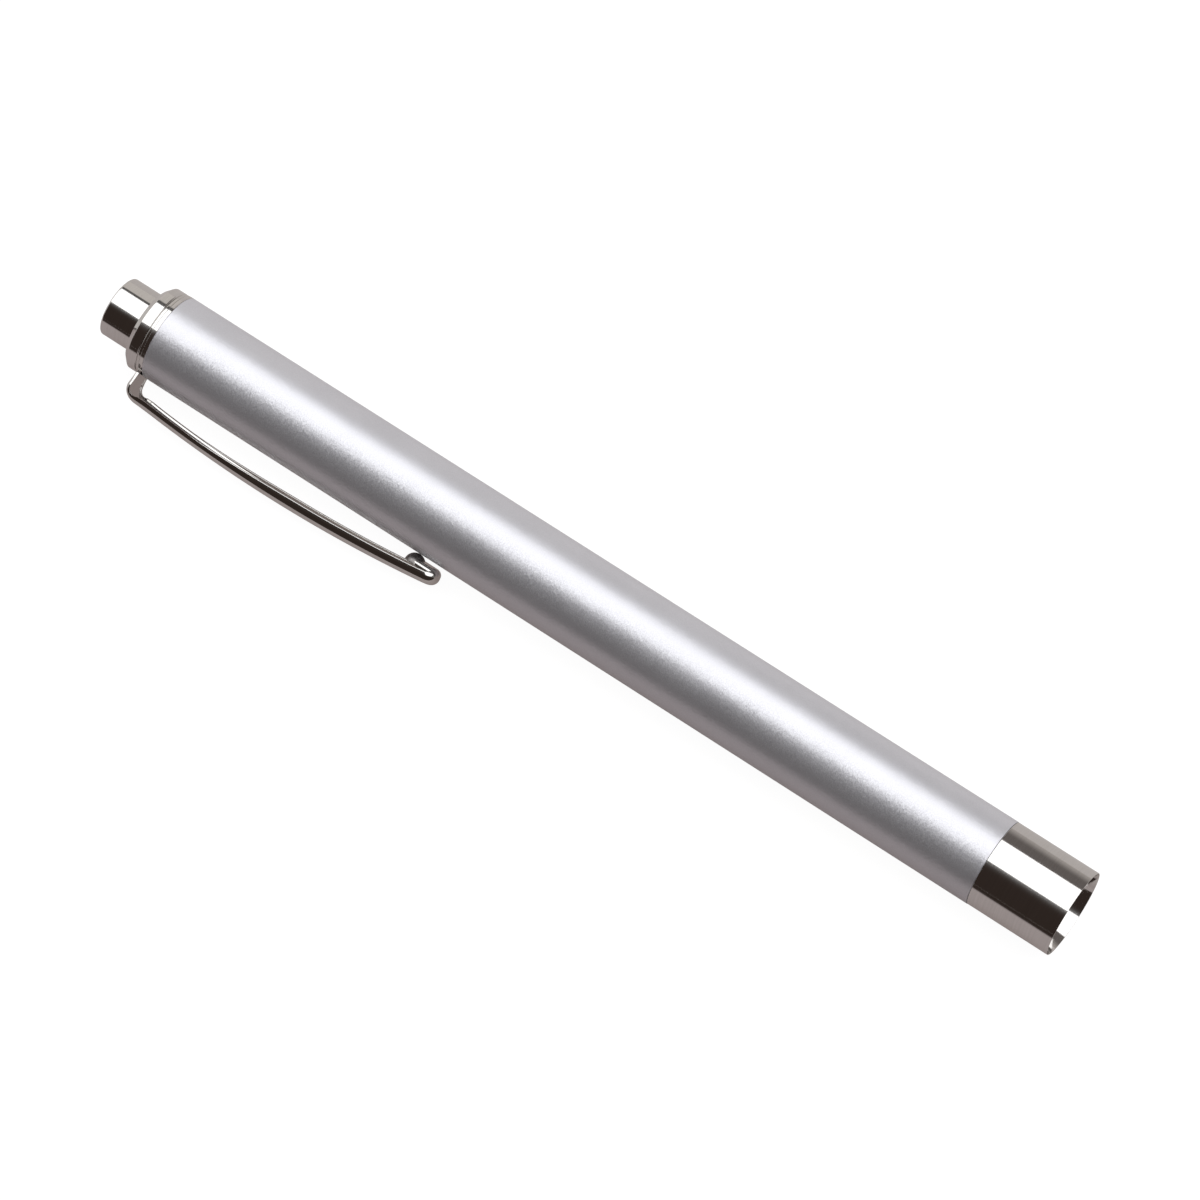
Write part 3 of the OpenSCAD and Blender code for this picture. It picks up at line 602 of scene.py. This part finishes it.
head = {"outside": 5.97, "mouth": 5.6, "flare": 5.88, "flareEnd": -1.6, "front": 0.0, "floor": -4.37,
        "rear": -11.79, "seat": 5.35, "cupBack": -10.97, "bore": 4.65, "spigot": 5.4, "grooveFront": -12.49,
        "grooveRear": -13.09, "groove": 5.0, "threadFront": -13.55, "rootFront": -13.75, "threadRear": -17.45,
        "threadRoot": 5.16, "noseFront": -17.6, "nose": 5.25, "end": -18.19, "flareEdge": 0.4,
        "mouthEdge": 0.03, "frontEdge": 0.05, "rearEdge": 0.04, "grooveEdge": 0.05, "noseEdge": 0.1}
headPiece = turnedPiece("headShell", namedOutline(
    head, ("mouth", "flareEnd", "flareEdge"), ("flare", "front", "mouthEdge"),
    ("outside", "front", "frontEdge"),
    ("outside", "rear", "rearEdge"), ("spigot", "rear"), ("spigot", "grooveFront"),
    ("groove", "grooveFront", "grooveEdge"), ("groove", "grooveRear", "grooveEdge"), ("spigot", "grooveRear"),
    ("spigot", "threadFront"), ("threadRoot", "rootFront"), ("threadRoot", "threadRear"),
    ("nose", "noseFront"),
    ("nose", "end", "noseEdge"), ("bore", "end"), ("bore", "cupBack"), ("seat", "cupBack"), ("seat", "floor"),
    ("mouth", "floor")), "brightChrome", turning["fineSides"])
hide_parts("head_tube")
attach(headPiece, "head")

thread = {"startX": -17.6, "endX": -13.5, "startRadius": 5.19, "endRadius": 5.19, "turns": 7.3,
          "across": 0.21, "along": 0.22, "taperTurns": 0.6, "stepsPerTurn": 60, "sides": 3}
threadPiece = helixPiece("spigotThread", thread, "brightChrome")
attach(threadPiece, "head")

seal = {"centre": 5.225, "x": -12.79, "wire": 0.205, "steps": 24}
sealPoints = arc(seal["centre"], seal["x"], seal["wire"], 0, 360, seal["steps"])[:-1]
sealPiece = turnedPiece("headSealRing", sealPoints, "sealRubber")
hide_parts("head_seal")
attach(sealPiece, "seal")

cup = {"front": -4.37, "back": -10.95, "seat": 5.32, "rimInside": 5.12, "rimEdge": 0.05, "hole": 2.57,
       "throat": -10.77, "steps": 40}
cupPoints = namedOutline(cup, ("hole", "back"), ("seat", "back"), ("seat", "front", "rimEdge"),
                         ("rimInside", "front", "rimEdge"))
for k in range(cup["steps"] - 1, -1, -1):
    u = (k / cup["steps"]) ** 2
    cupPoints.append((cup["hole"] + (cup["rimInside"] - cup["hole"]) * math.sqrt(u),
                      cup["throat"] + (cup["front"] - cup["throat"]) * u))
cupPiece = turnedPiece("reflectorCup", cupPoints, "mirrorCup")
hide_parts("reflector")
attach(cupPiece, "head")

lamp = {"tip": -5.67, "base": -14.27, "radius": 2.5, "lip": 2.9, "lipTop": -13.27, "lipEdge": 0.1,
        "domeSteps": 24}
lampPoints = namedOutline(lamp, (0.0, "base"), ("lip", "base", "lipEdge"), ("lip", "lipTop", "lipEdge"),
                          ("radius", "lipTop"))
lampPoints += arc(0.0, lamp["tip"] - lamp["radius"], lamp["radius"], 0, 90, lamp["domeSteps"])
lampPiece = turnedPiece("lampBody", lampPoints, "clearEpoxy")
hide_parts("led_lens")
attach(lampPiece, "head")
print("head, seal, cup and lamp done")

# Tail cap, button and bright ring

cap = {"outside": 5.97, "faceRadius": 5.25, "face": -141.67, "edge": -140.97, "shoulder": -139.57,
       "buttonHole": 4.245, "spigot": 5.4, "spigotEnd": -130.77, "chamber": 4.695, "lip": -140.17,
       "holeEdge": 0.05, "faceEdge": 0.06, "chamferEdge": 0.12, "shoulderEdge": 0.2, "spigotEdge": 0.08}
capPiece = turnedPiece("tailCap", namedOutline(
    cap, ("buttonHole", "face", "holeEdge"), ("faceRadius", "face", "faceEdge"),
    ("outside", "edge", "chamferEdge"), ("outside", "shoulder", "shoulderEdge"), ("spigot", "shoulder"),
    ("spigot", "spigotEnd", "spigotEdge"), ("chamber", "spigotEnd"), ("chamber", "lip"),
    ("buttonHole", "lip")), "brightChrome", turning["fineSides"])
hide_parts("tail_cap")
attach(capPiece, "barrel")

button = {"radius": 4.175, "end": -146.64, "edge": 0.25, "lip": -140.07, "lipRadius": 4.625, "front": -138.87,
          "hollow": 3.325, "roof": -145.64, "neckEdge": 0.05, "lipEdge": 0.06, "roofEdge": 0.15}
buttonPiece = turnedPiece("pushButton", namedOutline(
    button, (0.0, "end"), ("radius", "end", "edge"), ("radius", "lip", "neckEdge"),
    ("lipRadius", "lip", "lipEdge"),
    ("lipRadius", "front", "lipEdge"), ("hollow", "front"), ("hollow", "roof", "roofEdge"), (0.0, "roof")),
    "brightChrome")
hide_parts("push_button")
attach(buttonPiece, "button")

clipPlace = {"roll": 27.0357}
roll = math.radians(clipPlace["roll"])
upperEdge = Vector((0, -math.sin(roll), math.cos(roll)))   # the clip's own Y, towards its upper edge
outward = Vector((0, -math.cos(roll), -math.sin(roll)))    # the clip's own Z, away from the barrel


def atClip(x, y, z):
    return (Vector((x, 0, 0)) + upperEdge * y + outward * z) * mm


ring = {"rear": -139.07, "front": -138.51, "outside": 6.0, "bore": 5.43, "edge": 0.04, "notchWidth": 8.4,
        "notchFloor": 5.7, "overrun": 0.3, "arcSteps": 24}


def notchCutter():
    # A prism along the axis: the notch's floor follows the ring, its sides stand square to the clip.
    side, top = ring["notchWidth"] / 2, ring["outside"] + ring["overrun"]
    reach = math.degrees(math.asin(side / ring["notchFloor"]))
    outline = arc(0.0, 0.0, ring["notchFloor"], 90 + reach, 90 - reach, ring["arcSteps"])
    outline += [(side, top), (-side, top)]
    count = len(outline)
    ends = (ring["rear"] - ring["overrun"], ring["front"] + ring["overrun"])
    verts = [atClip(x, y, z) for x in ends for y, z in outline]
    faces = [tuple(range(count)), tuple(range(2 * count - 1, count - 1, -1))]
    faces += [(k, count + k, count + (k + 1) % count, (k + 1) % count) for k in range(count)]
    mesh = bpy.data.meshes.new("notchPrism")
    mesh.from_pydata(verts, [], faces)
    return addObject("notchCutter", outwardMesh(mesh))


def cutPiece(piece, cutter):
    cut = piece.modifiers.new("notch", "BOOLEAN")
    cut.operation = "DIFFERENCE"
    cut.solver = "EXACT"
    cut.object = cutter
    mesh = plainMesh(piece)
    piece.modifiers.clear()
    bpy.data.objects.remove(cutter)
    shadeMesh(mesh, meshing["cutCrease"])
    mesh.name = piece.name
    piece.data = mesh


ringPiece = turnedPiece("brightRing", namedOutline(
    ring, ("bore", "front"), ("outside", "front", "edge"), ("outside", "rear", "edge"), ("bore", "rear")),
    "brightChrome", turning["fineSides"])
cutPiece(ringPiece, notchCutter())
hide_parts("clip_ring")
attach(ringPiece, "barrel")
print("tail cap, button and ring done")

# Clip: collar, neck, channel arm, spoon tip and folded tab, pressed from one sheet, and its dome

clip = {"sheet": 0.46, "neckX": -139.55, "collarFront": -139.09, "collarRadius": 5.97, "collarBore": 5.43,
        "collarEdge": 0.03, "collarRearEdge": 0.17, "bendRadius": 2.0, "bendCentreX": -137.55,
        "bendCentreZ": 7.44717, "peakX": -117.7, "peakZ": 10.42, "bowRadius": 205.0, "noseX": -92.95,
        "width": 3.6, "neckWidth": 5.0, "flareLength": 5.0, "flange": (0.58, 1.12, 1.54),
        "corner": (0.54, 1.08, 1.12), "riseLength": 2.5, "deepStart": 8.0, "deepLength": 20.0,
        "neckSwell": 0.12, "tipRise": 0.74, "tipDraw": 1.25, "curl": 1.0, "curlDepth": 0.85, "neckRoot": 5.5,
        "rootWidth": 4.0, "rootTop": 6.0, "rootCorner": 0.08, "rimEdge": 0.09, "hair": 0.02,
        "leastWall": 0.01,
        "flatShares": (0.5, 0.97), "wallShares": (0.15, 0.3, 0.45, 0.6, 0.75, 0.9), "neckSteps": 8,
        "bendSteps": 16, "bowSteps": 46, "spoonSteps": 30, "cornerSteps": 8, "rimSteps": 3}
tab = {"top": 6.64, "width": 3.0, "thickness": 0.8, "tipReach": 1.25, "edge": 0.55, "domeX": -95.2,
       "domeZ": 7.48, "domeRadius": 1.4, "hollow": 0.94, "rearRadius": 1.06, "rearTurn": 1.25,
       "shoulderFront": 0.9, "shoulderRear": 0.35, "shoulderShare": 0.93, "tipSteps": 24, "rearSteps": 12,
       "edgeSteps": 6, "domeSteps": 24, "hollowSteps": 20, "domeSides": 64, "level": 1e-6}


def easeIn(u):
    u = min(1.0, max(0.0, u))
    return u * u * (3 - 2 * u)


def between(a, b, u):
    return a + (b - a) * u


def clipWidth(s):
    return between(clip["width"], clip["neckWidth"], max(0.0, 1 - s / clip["flareLength"]) ** 2)


def clipGrown(sizes, s):
    atNeck, middle, tip = sizes
    deepened = easeIn((s - clip["deepStart"]) / clip["deepLength"])
    return atNeck + (middle - atNeck) * easeIn(s / clip["riseLength"]) + (tip - middle) * deepened


def halfSection(width, depth, corner):
    # From the middle of the outside, round the rim, to the middle of the inside, as (across, depth).
    t, e, steps = clip["sheet"], clip["rimEdge"], clip["cornerSteps"]
    side, flat = width / 2, width / 2 - corner
    inner = max(clip["hair"], corner - t)
    low, innerFlat = t + inner, side - t - inner
    wall = max(clip["leastWall"], depth - e - corner)
    innerWall = max(clip["leastWall"], depth - e - low)
    points = [(0.0, 0.0)] + [(flat * share, 0.0) for share in clip["flatShares"]]
    points += arc(flat, corner, corner, -90, 0, steps)
    points += [(side, corner + wall * share) for share in clip["wallShares"]]
    points += arc(side - e, depth - e, e, 0, 90, clip["rimSteps"])
    points += arc(side - t + e, depth - e, e, 90, 180, clip["rimSteps"])
    points += [(side - t, low + innerWall * share) for share in reversed(clip["wallShares"])]
    points += arc(innerFlat, low, inner, 0, -90, steps)
    return points + [(innerFlat * share, t) for share in reversed(clip["flatShares"])] + [(0.0, t)]


def wholeSection(half):
    return [(-y, d) for y, d in half] + [(y, d) for y, d in reversed(half[1:-1])]


def clipArmMesh():
    rings = []
    bowCentreZ = clip["peakZ"] - clip["bowRadius"]
    # Neck, which stands out of the collar and swells from a flat plate to the channel.
    for i in range(clip["neckSteps"]):
        u = i / clip["neckSteps"]
        depth = between(clip["sheet"], clip["flange"][0], easeIn(u))
        corner = between(clip["rootCorner"], clip["corner"][0], easeIn(u))
        height = between(clip["neckRoot"], clip["bendCentreZ"], u)
        widening = max(0.0, (height - clip["rootTop"]) / (clip["bendCentreZ"] - clip["rootTop"]))
        width = between(clip["rootWidth"], clip["neckWidth"], widening)
        swell = clip["neckSwell"] * easeIn(widening)
        ringPoints = []
        for y, d in wholeSection(halfSection(width, depth, min(corner, depth - clip["hair"]))):
            root = math.sqrt(clip["neckRoot"] ** 2 - y ** 2)
            ringPoints.append((clip["neckX"] + d - swell, y, between(root, clip["bendCentreZ"], u)))
        rings.append(ringPoints)
    joinAngle = math.acos((clip["bendCentreX"] - clip["peakX"]) / (clip["bowRadius"] - clip["bendRadius"]))
    noseAngle = math.acos((clip["noseX"] - clip["peakX"]) / clip["bowRadius"])
    stations = []
    for i in range(clip["bendSteps"]):
        a = between(math.pi, joinAngle, i / clip["bendSteps"])
        reach = clip["bendRadius"] + clip["neckSwell"] * easeIn(1 - i / clip["bendSteps"])
        stations.append((clip["bendCentreX"] + reach * math.cos(a),
                         clip["bendCentreZ"] + reach * math.sin(a), a))
    for i in range(clip["bowSteps"] + 1):
        a = between(joinAngle, noseAngle, i / clip["bowSteps"])
        stations.append((clip["peakX"] + clip["bowRadius"] * math.cos(a),
                         bowCentreZ + clip["bowRadius"] * math.sin(a), a))
    for x, z, a in stations:
        s = x - clip["neckX"]
        half = halfSection(clipWidth(s), clipGrown(clip["flange"], s), clipGrown(clip["corner"], s))
        rings.append([(x - math.cos(a) * d, y, z - math.sin(a) * d) for y, d in wholeSection(half)])
    count = len(rings[0])
    middle = count // 2                         # index of the middle of the inside
    verts = [atClip(*p) for points in rings for p in points]
    faces = []
    for i in range(len(rings) - 1):
        for k in range(count):
            n = (k + 1) % count
            faces.append((i * count + k, i * count + n, (i + 1) * count + n, (i + 1) * count + k))
    for k in range(middle):                     # the neck's root, inside the collar
        faces.append(tuple(dict.fromkeys((k, (count - k) % count, count - k - 1, k + 1))))
    # Spoon: the half section turned about the nose, with its rim drawn down to the folded tab.
    x, z, a = stations[-1]
    s = x - clip["neckX"]
    last = (len(rings) - 1) * count
    start = len(verts)
    turns = clip["spoonSteps"]
    corner = clipGrown(clip["corner"], s)
    for i in range(1, turns):
        turn = -math.pi / 2 + math.pi * i / turns
        drawn = easeIn(clip["tipDraw"] * math.cos(turn))
        depth = clipGrown(clip["flange"], s) + clip["tipRise"] * drawn
        for across, d in halfSection(clip["width"], depth, corner)[1:-1]:
            inward = min(1.0, max(0.0, (d - depth + clip["curlDepth"]) / clip["curlDepth"]))
            across -= clip["curl"] * drawn * (1 - math.sqrt(1 - inward ** 2))
            ahead = across * math.cos(turn)
            verts.append(atClip(x + ahead * math.sin(a) - d * math.cos(a), across * math.sin(turn),
                                z - ahead * math.cos(a) - d * math.sin(a)))

    def spoonVert(i, k):
        if i == 0 or k in (0, middle):
            return last + k
        if i == turns:
            return last + count - k
        return start + (i - 1) * (middle - 1) + k - 1

    for i in range(turns):
        for k in range(middle):
            quad = (spoonVert(i, k), spoonVert(i + 1, k), spoonVert(i + 1, k + 1), spoonVert(i, k + 1))
            faces.append(tuple(dict.fromkeys(quad)))
    mesh = bpy.data.meshes.new("pocketClipArm")
    mesh.from_pydata(verts, [], [f for f in faces if len(f) > 2])
    mesh.update()
    return mesh


def clipTabMesh():
    # Plate folded back from the tip, with its edges rounded down; its rear end meets the dome.
    halfWidth = tab["width"] / 2
    outline = [(clip["noseX"] + tab["tipReach"] * x, halfWidth * y)
               for x, y in arc(0.0, 0.0, 1.0, 90, -90, tab["tipSteps"])]
    shoulders = [(tab["domeX"] + tab["shoulderFront"], halfWidth),
                 (tab["domeX"] + tab["shoulderRear"], halfWidth * tab["shoulderShare"])]
    outline += [(x, -y) for x, y in shoulders]
    rearTurn = math.degrees(tab["rearTurn"])
    outline += arc(tab["domeX"], 0.0, tab["rearRadius"], 180 + rearTurn, 180 - rearTurn, tab["rearSteps"])
    outline += reversed(shoulders)
    work = bmesh.new()
    face = work.faces.new([work.verts.new((x, y, tab["top"])) for x, y in outline])
    raised = bmesh.ops.extrude_face_region(work, geom=[face])
    for v in (g for g in raised["geom"] if isinstance(g, bmesh.types.BMVert)):
        v.co.z += tab["thickness"]
    bmesh.ops.recalc_face_normals(work, faces=work.faces)
    edges = [e for e in work.edges if max(v.co.z for v in e.verts) < tab["top"] + tab["level"]]
    bmesh.ops.bevel(work, geom=edges, offset=tab["edge"], segments=tab["edgeSteps"], profile=0.5,
                    affect="EDGES")
    for v in work.verts:
        v.co = atClip(*v.co)
    mesh = bpy.data.meshes.new("pocketClipTab")
    work.to_mesh(mesh)
    work.free()
    return mesh


def clipDomeMesh():
    # Pressed dome that touches the barrel.
    points = arc(0.0, 0.0, tab["domeRadius"], -90, 0, tab["domeSteps"])
    points += arc(0.0, 0.0, tab["hollow"], 0, -90, tab["hollowSteps"])
    mesh = turnedMesh("pocketClipDome", points, tab["domeSides"])
    for v in mesh.vertices:
        along, across, up = v.co / mm
        v.co = atClip(tab["domeX"] + across, up, tab["domeZ"] + along)
    return mesh


def clipCollarMesh():
    return turnedMesh("pocketClipCollar", namedOutline(
        clip, ("collarBore", "neckX"), ("collarRadius", "neckX", "collarRearEdge"),
        ("collarRadius", "collarFront", "collarEdge"), ("collarBore", "collarFront")), turning["fineSides"])


def joinedPiece(name, meshes, material):
    whole = bmesh.new()
    for mesh in meshes:
        whole.from_mesh(outwardMesh(mesh))
    joined = bpy.data.meshes.new(name)
    whole.to_mesh(joined)
    whole.free()
    return finishMesh(name, joined, material)


clipPiece = joinedPiece("pocketClip", [clipArmMesh(), clipTabMesh(), clipCollarMesh()], "pressedSteel")
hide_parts("clip_collar", "clip_arm")
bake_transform(clipPiece)
# The dome is pressed from the clip's own sheet; its darker colour is painted shade.
domePiece = joinedPiece("clipDome", [clipDomeMesh()], "dullSteel")
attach(domePiece, "clip")
print("clip done")

# Springs

springWire = {"across": 0.2, "along": 0.2, "stepsPerTurn": 48, "sides": 12}
springs = {
    "frontSpring": {"node": "front_spring", "body": "spring", "startX": -25.92, "endX": -18.31,
                    "startRadius": 1.4, "endRadius": 2.6, "turns": 4.5, "deadTurns": 0.9},
    "returnSpring": {"node": "return_spring", "body": "barrel", "startX": -130.87, "endX": -123.91,
                     "startRadius": 2.4, "endRadius": 2.4, "turns": 7.0, "deadTurns": 1.0, "anchorX": -123.89,
                     "keep": 0.684},
    "batterySpring": {"node": "battery_spring", "body": "barrel", "startX": -121.77, "endX": -115.01,
                      "startRadius": 1.9, "endRadius": 3.9, "turns": 5.0, "deadTurns": 0.9, "across": 0.25,
                      "along": 0.25, "anchorX": -114.99, "keep": 0.675},
}
for name, sizes in springs.items():
    piece = helixPiece(name, {**springWire, **sizes}, "springSteel")
    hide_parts(sizes["node"])
    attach(piece, sizes["body"])
    if "anchorX" in sizes:
        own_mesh(piece)
print("springs done")

# Solids that keep their CAD shape

carried = {
    "cell_liner": "linerFilm", "led_frame": "silveredLead", "led_chip": "lampPhosphor",
    "led_holder": "holderPlastic",
    "circuit_board": "boardGreen", "resistor": "resistorBody", "contact_pad": "contactBrass",
    "plunger": "plungerPlastic", "rotor": "rotorPlastic", "contact_stem": "contactBrass",
    "cam_housing": "housingPlastic", "contact_ring": "contactBrass",
}
cellFinishes = {"can": "platedCan", "core": "cellFilling", "jacket": "cellJacket", "seal": "cellSeal",
                "base": "platedCan"}
for cell in ("front_cell_", "rear_cell_"):
    carried.update({cell + part: finish for part, finish in cellFinishes.items()})
for node, finish in carried.items():
    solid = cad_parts[node]
    if not solid.material_slots:
        solid.data.materials.append(None)
    for place in solid.material_slots:
        place.material = finishes[finish]
print("carried solids finished:", len(carried))

# Studio

black, white = (0.0, 0.0, 0.0), (1.0, 1.0, 1.0)
studio = {"floorZ": -6.012, "floorSize": 8000.0, "floorTone": (0.105, 0.102, 0.103), "cameraLift": 0.955,
          "glossNear": (0.238, 0.199, 0.19), "glossFar": (0.36, 0.33, 0.31), "glossTurn": 6.0,
          "clothEdge": -50.0, "clothSoftness": 12.0, "boxHeight": 1000.0, "boxFar": 882.0, "boxNear": -384.0,
          "boxLength": 3000.0, "boxCentreX": -70.0, "boxLevel": 4.24}   # boxLevel in watts a square metre
cloth = {"cameraSide": (0.030, 0.0215, 0.018), "spill": 0.154, "spillStart": 0.445, "spillFade": 0.09,
         "farSide": (0.54, 0.505, 0.475), "strip": (0.10, 0.095, 0.092), "stripEnd": 1.27, "stripFade": 0.06,
         "farLamp": (0.125, 0.110, 0.104), "farLow": (0.36, 0.33, 0.31), "farLowTop": 0.45,
         "lampStart": -0.28, "lampEnd": -0.16, "rear": (0.60, 0.58, 0.565), "rearStart": -0.72,
         "rearEnd": -0.82, "belowTable": (0.45, 0.415, 0.40), "roomNear": (0.12, 0.10, 0.095),
         "roomFar": (0.95, 0.95, 0.99), "leastHeight": 0.02, "sideFade": 0.05, "horizonFade": 0.004}


def rayShare(tree):
    # 1 for what the camera sees itself or through clear material.
    path = addNode(tree, "ShaderNodeLightPath")
    return path, maths(tree, "MAXIMUM", path.outputs["Is Camera Ray"], path.outputs["Is Transmission Ray"])


def makeFloor():
    size, z = studio["floorSize"] / 2 * mm, studio["floorZ"] * mm
    mesh = bpy.data.meshes.new("studioFloor")
    corners = [(-size, -size, z), (size, -size, z), (size, size, z), (-size, size, z)]
    mesh.from_pydata(corners, [], [(0, 1, 2, 3)])
    material = bpy.data.materials.new("studioPaper")
    material.use_nodes = True
    tree = material.node_tree
    tree.nodes.clear()
    y = axes(tree, "Object")[1]
    path, seen = rayShare(tree)
    glossy = path.outputs["Is Glossy Ray"]
    # White to the camera, with the shadow kept in the diffuse share. The metal mirrors the paper as a grey
    # table that ends in a dark cloth on the camera's side.
    edge, soft, turn = (studio[key] * mm for key in ("clothEdge", "clothSoftness", "glossTurn"))
    onPaper = mapRange(tree, y, edge - soft, edge + soft, smooth=True)
    behind = mapRange(tree, y, -turn, turn, smooth=True)
    table = mixColours(tree, behind, studio["glossNear"], studio["glossFar"])
    table = mixColours(tree, onPaper, cloth["cameraSide"], table)
    inCloth = times(tree, glossy, take(tree, 1.0, onPaper))
    paper = addNode(tree, "ShaderNodeBsdfDiffuse")
    feed(tree, paper.inputs["Color"], mixColours(tree, inCloth, studio["floorTone"], black))
    lift = addNode(tree, "ShaderNodeEmission")
    feed(tree, lift.inputs["Strength"], times(tree, seen, studio["cameraLift"]))
    grey = addNode(tree, "ShaderNodeEmission")
    feed(tree, grey.inputs["Color"], table)
    feed(tree, grey.inputs["Strength"], glossy)
    whole = paper
    for extra in (lift, grey):
        both = addNode(tree, "ShaderNodeAddShader")
        tree.links.new(whole.outputs[0], both.inputs[0])
        tree.links.new(extra.outputs[0], both.inputs[1])
        whole = both
    out = addNode(tree, "ShaderNodeOutputMaterial")
    tree.links.new(whole.outputs[0], out.inputs["Surface"])
    mesh.materials.append(material)
    floor = addObject("studioFloor", mesh)


def makeWorld():
    # The room that the metal mirrors: pale behind the light, dark in front of it; plain white for the camera.
    world = bpy.data.worlds.new("studioWorld")
    bpy.context.scene.world = world
    world.use_nodes = True
    tree = world.node_tree
    tree.nodes.clear()
    x, y, z = axes(tree, "Generated")
    height = maths(tree, "MAXIMUM", z, cloth["leastHeight"])
    # The cloth on the camera's side catches a little light next to the softbox.
    slope = over(tree, times(tree, y, -1.0), height)
    fade = over(tree, take(tree, cloth["spillStart"], slope), cloth["spillFade"])
    spill = times(tree, maths(tree, "EXPONENT", maths(tree, "MINIMUM", fade, 0.0)), cloth["spill"])
    nearCloth = mixColours(tree, spill, cloth["cameraSide"], white)
    # A dark frame runs along the softbox's far edge, and the cloth under the lamp is darker.
    strip = mapRange(tree, over(tree, y, height), cloth["stripEnd"] - cloth["stripFade"],
                     cloth["stripEnd"] + cloth["stripFade"], 1.0, 0.0, smooth=True)
    farCloth = mixColours(tree, strip, cloth["farSide"], cloth["strip"])
    low = mapRange(tree, z, 0.0, cloth["farLowTop"], 1.0, 0.0, smooth=True)
    farLamp = mixColours(tree, low, cloth["farLamp"], cloth["farLow"])
    lampShare = mapRange(tree, x, cloth["lampStart"], cloth["lampEnd"], smooth=True)
    farCloth = mixColours(tree, lampShare, farCloth, farLamp)
    side = mapRange(tree, y, -cloth["sideFade"], cloth["sideFade"])
    cloths = mixColours(tree, side, nearCloth, farCloth)
    rear = mapRange(tree, x, cloth["rearEnd"], cloth["rearStart"], 1.0, 0.0, smooth=True)
    cloths = mixColours(tree, rear, cloths, cloth["rear"])
    below = mapRange(tree, z, -cloth["horizonFade"], cloth["horizonFade"], 1.0, 0.0)
    seenByMetal = mixColours(tree, below, cloths, cloth["belowTable"])
    path, seen = rayShare(tree)
    room = mixColours(tree, side, cloth["roomNear"], cloth["roomFar"])
    litBy = mixColours(tree, path.outputs["Is Diffuse Ray"], seenByMetal, room)
    background = addNode(tree, "ShaderNodeBackground")
    feed(tree, background.inputs["Color"], mixColours(tree, seen, litBy, white))
    out = addNode(tree, "ShaderNodeOutputWorld")
    tree.links.new(background.outputs[0], out.inputs["Surface"])


makeFloor()
makeWorld()

softbox = bpy.data.lights.new("softbox", "AREA")
softbox.shape = "RECTANGLE"
softbox.size = studio["boxLength"] * mm
softbox.size_y = (studio["boxFar"] - studio["boxNear"]) * mm
softbox.energy = studio["boxLevel"] * softbox.size * softbox.size_y
boxCentreY = (studio["boxFar"] + studio["boxNear"]) / 2
addObject("softbox", softbox).location = Vector((studio["boxCentreX"], boxCentreY, studio["boxHeight"])) * mm
print("studio ready")

# Camera

photo = {"toward": (0.2232, -0.3225, 0.9198), "tilt": 32.478, "distance": 730.0, "target": (-71.96, 0.0, 0.0),
         "right": 0.7197, "up": 1.1287, "lens": 173.46, "sensor": 36.0, "nearest": 0.01, "farthest": 50.0}


def makeCamera():
    toward = Vector(photo["toward"]).normalized()
    axisInPicture = (Vector((1, 0, 0)) - toward * toward.x).normalized()
    across = toward.cross(axisInPicture)
    tilt = math.radians(photo["tilt"])
    right = axisInPicture * math.cos(tilt) + across * math.sin(tilt)
    up = across * math.cos(tilt) - axisInPicture * math.sin(tilt)
    aim = Vector(photo["target"]) + right * photo["right"] + up * photo["up"]
    place = (aim + toward * photo["distance"]) * mm
    data = bpy.data.cameras.new("photoCamera")
    data.lens = photo["lens"]
    data.sensor_width = photo["sensor"]
    data.clip_start = photo["nearest"]
    data.clip_end = photo["farthest"]
    camera = addObject("photoCamera", data)
    turn = Matrix((right, up, toward)).transposed()
    camera.matrix_world = Matrix.Translation(place) @ turn.to_4x4()
    bpy.context.scene.camera = camera


makeCamera()
bpy.context.scene.view_settings.view_transform = "Standard"
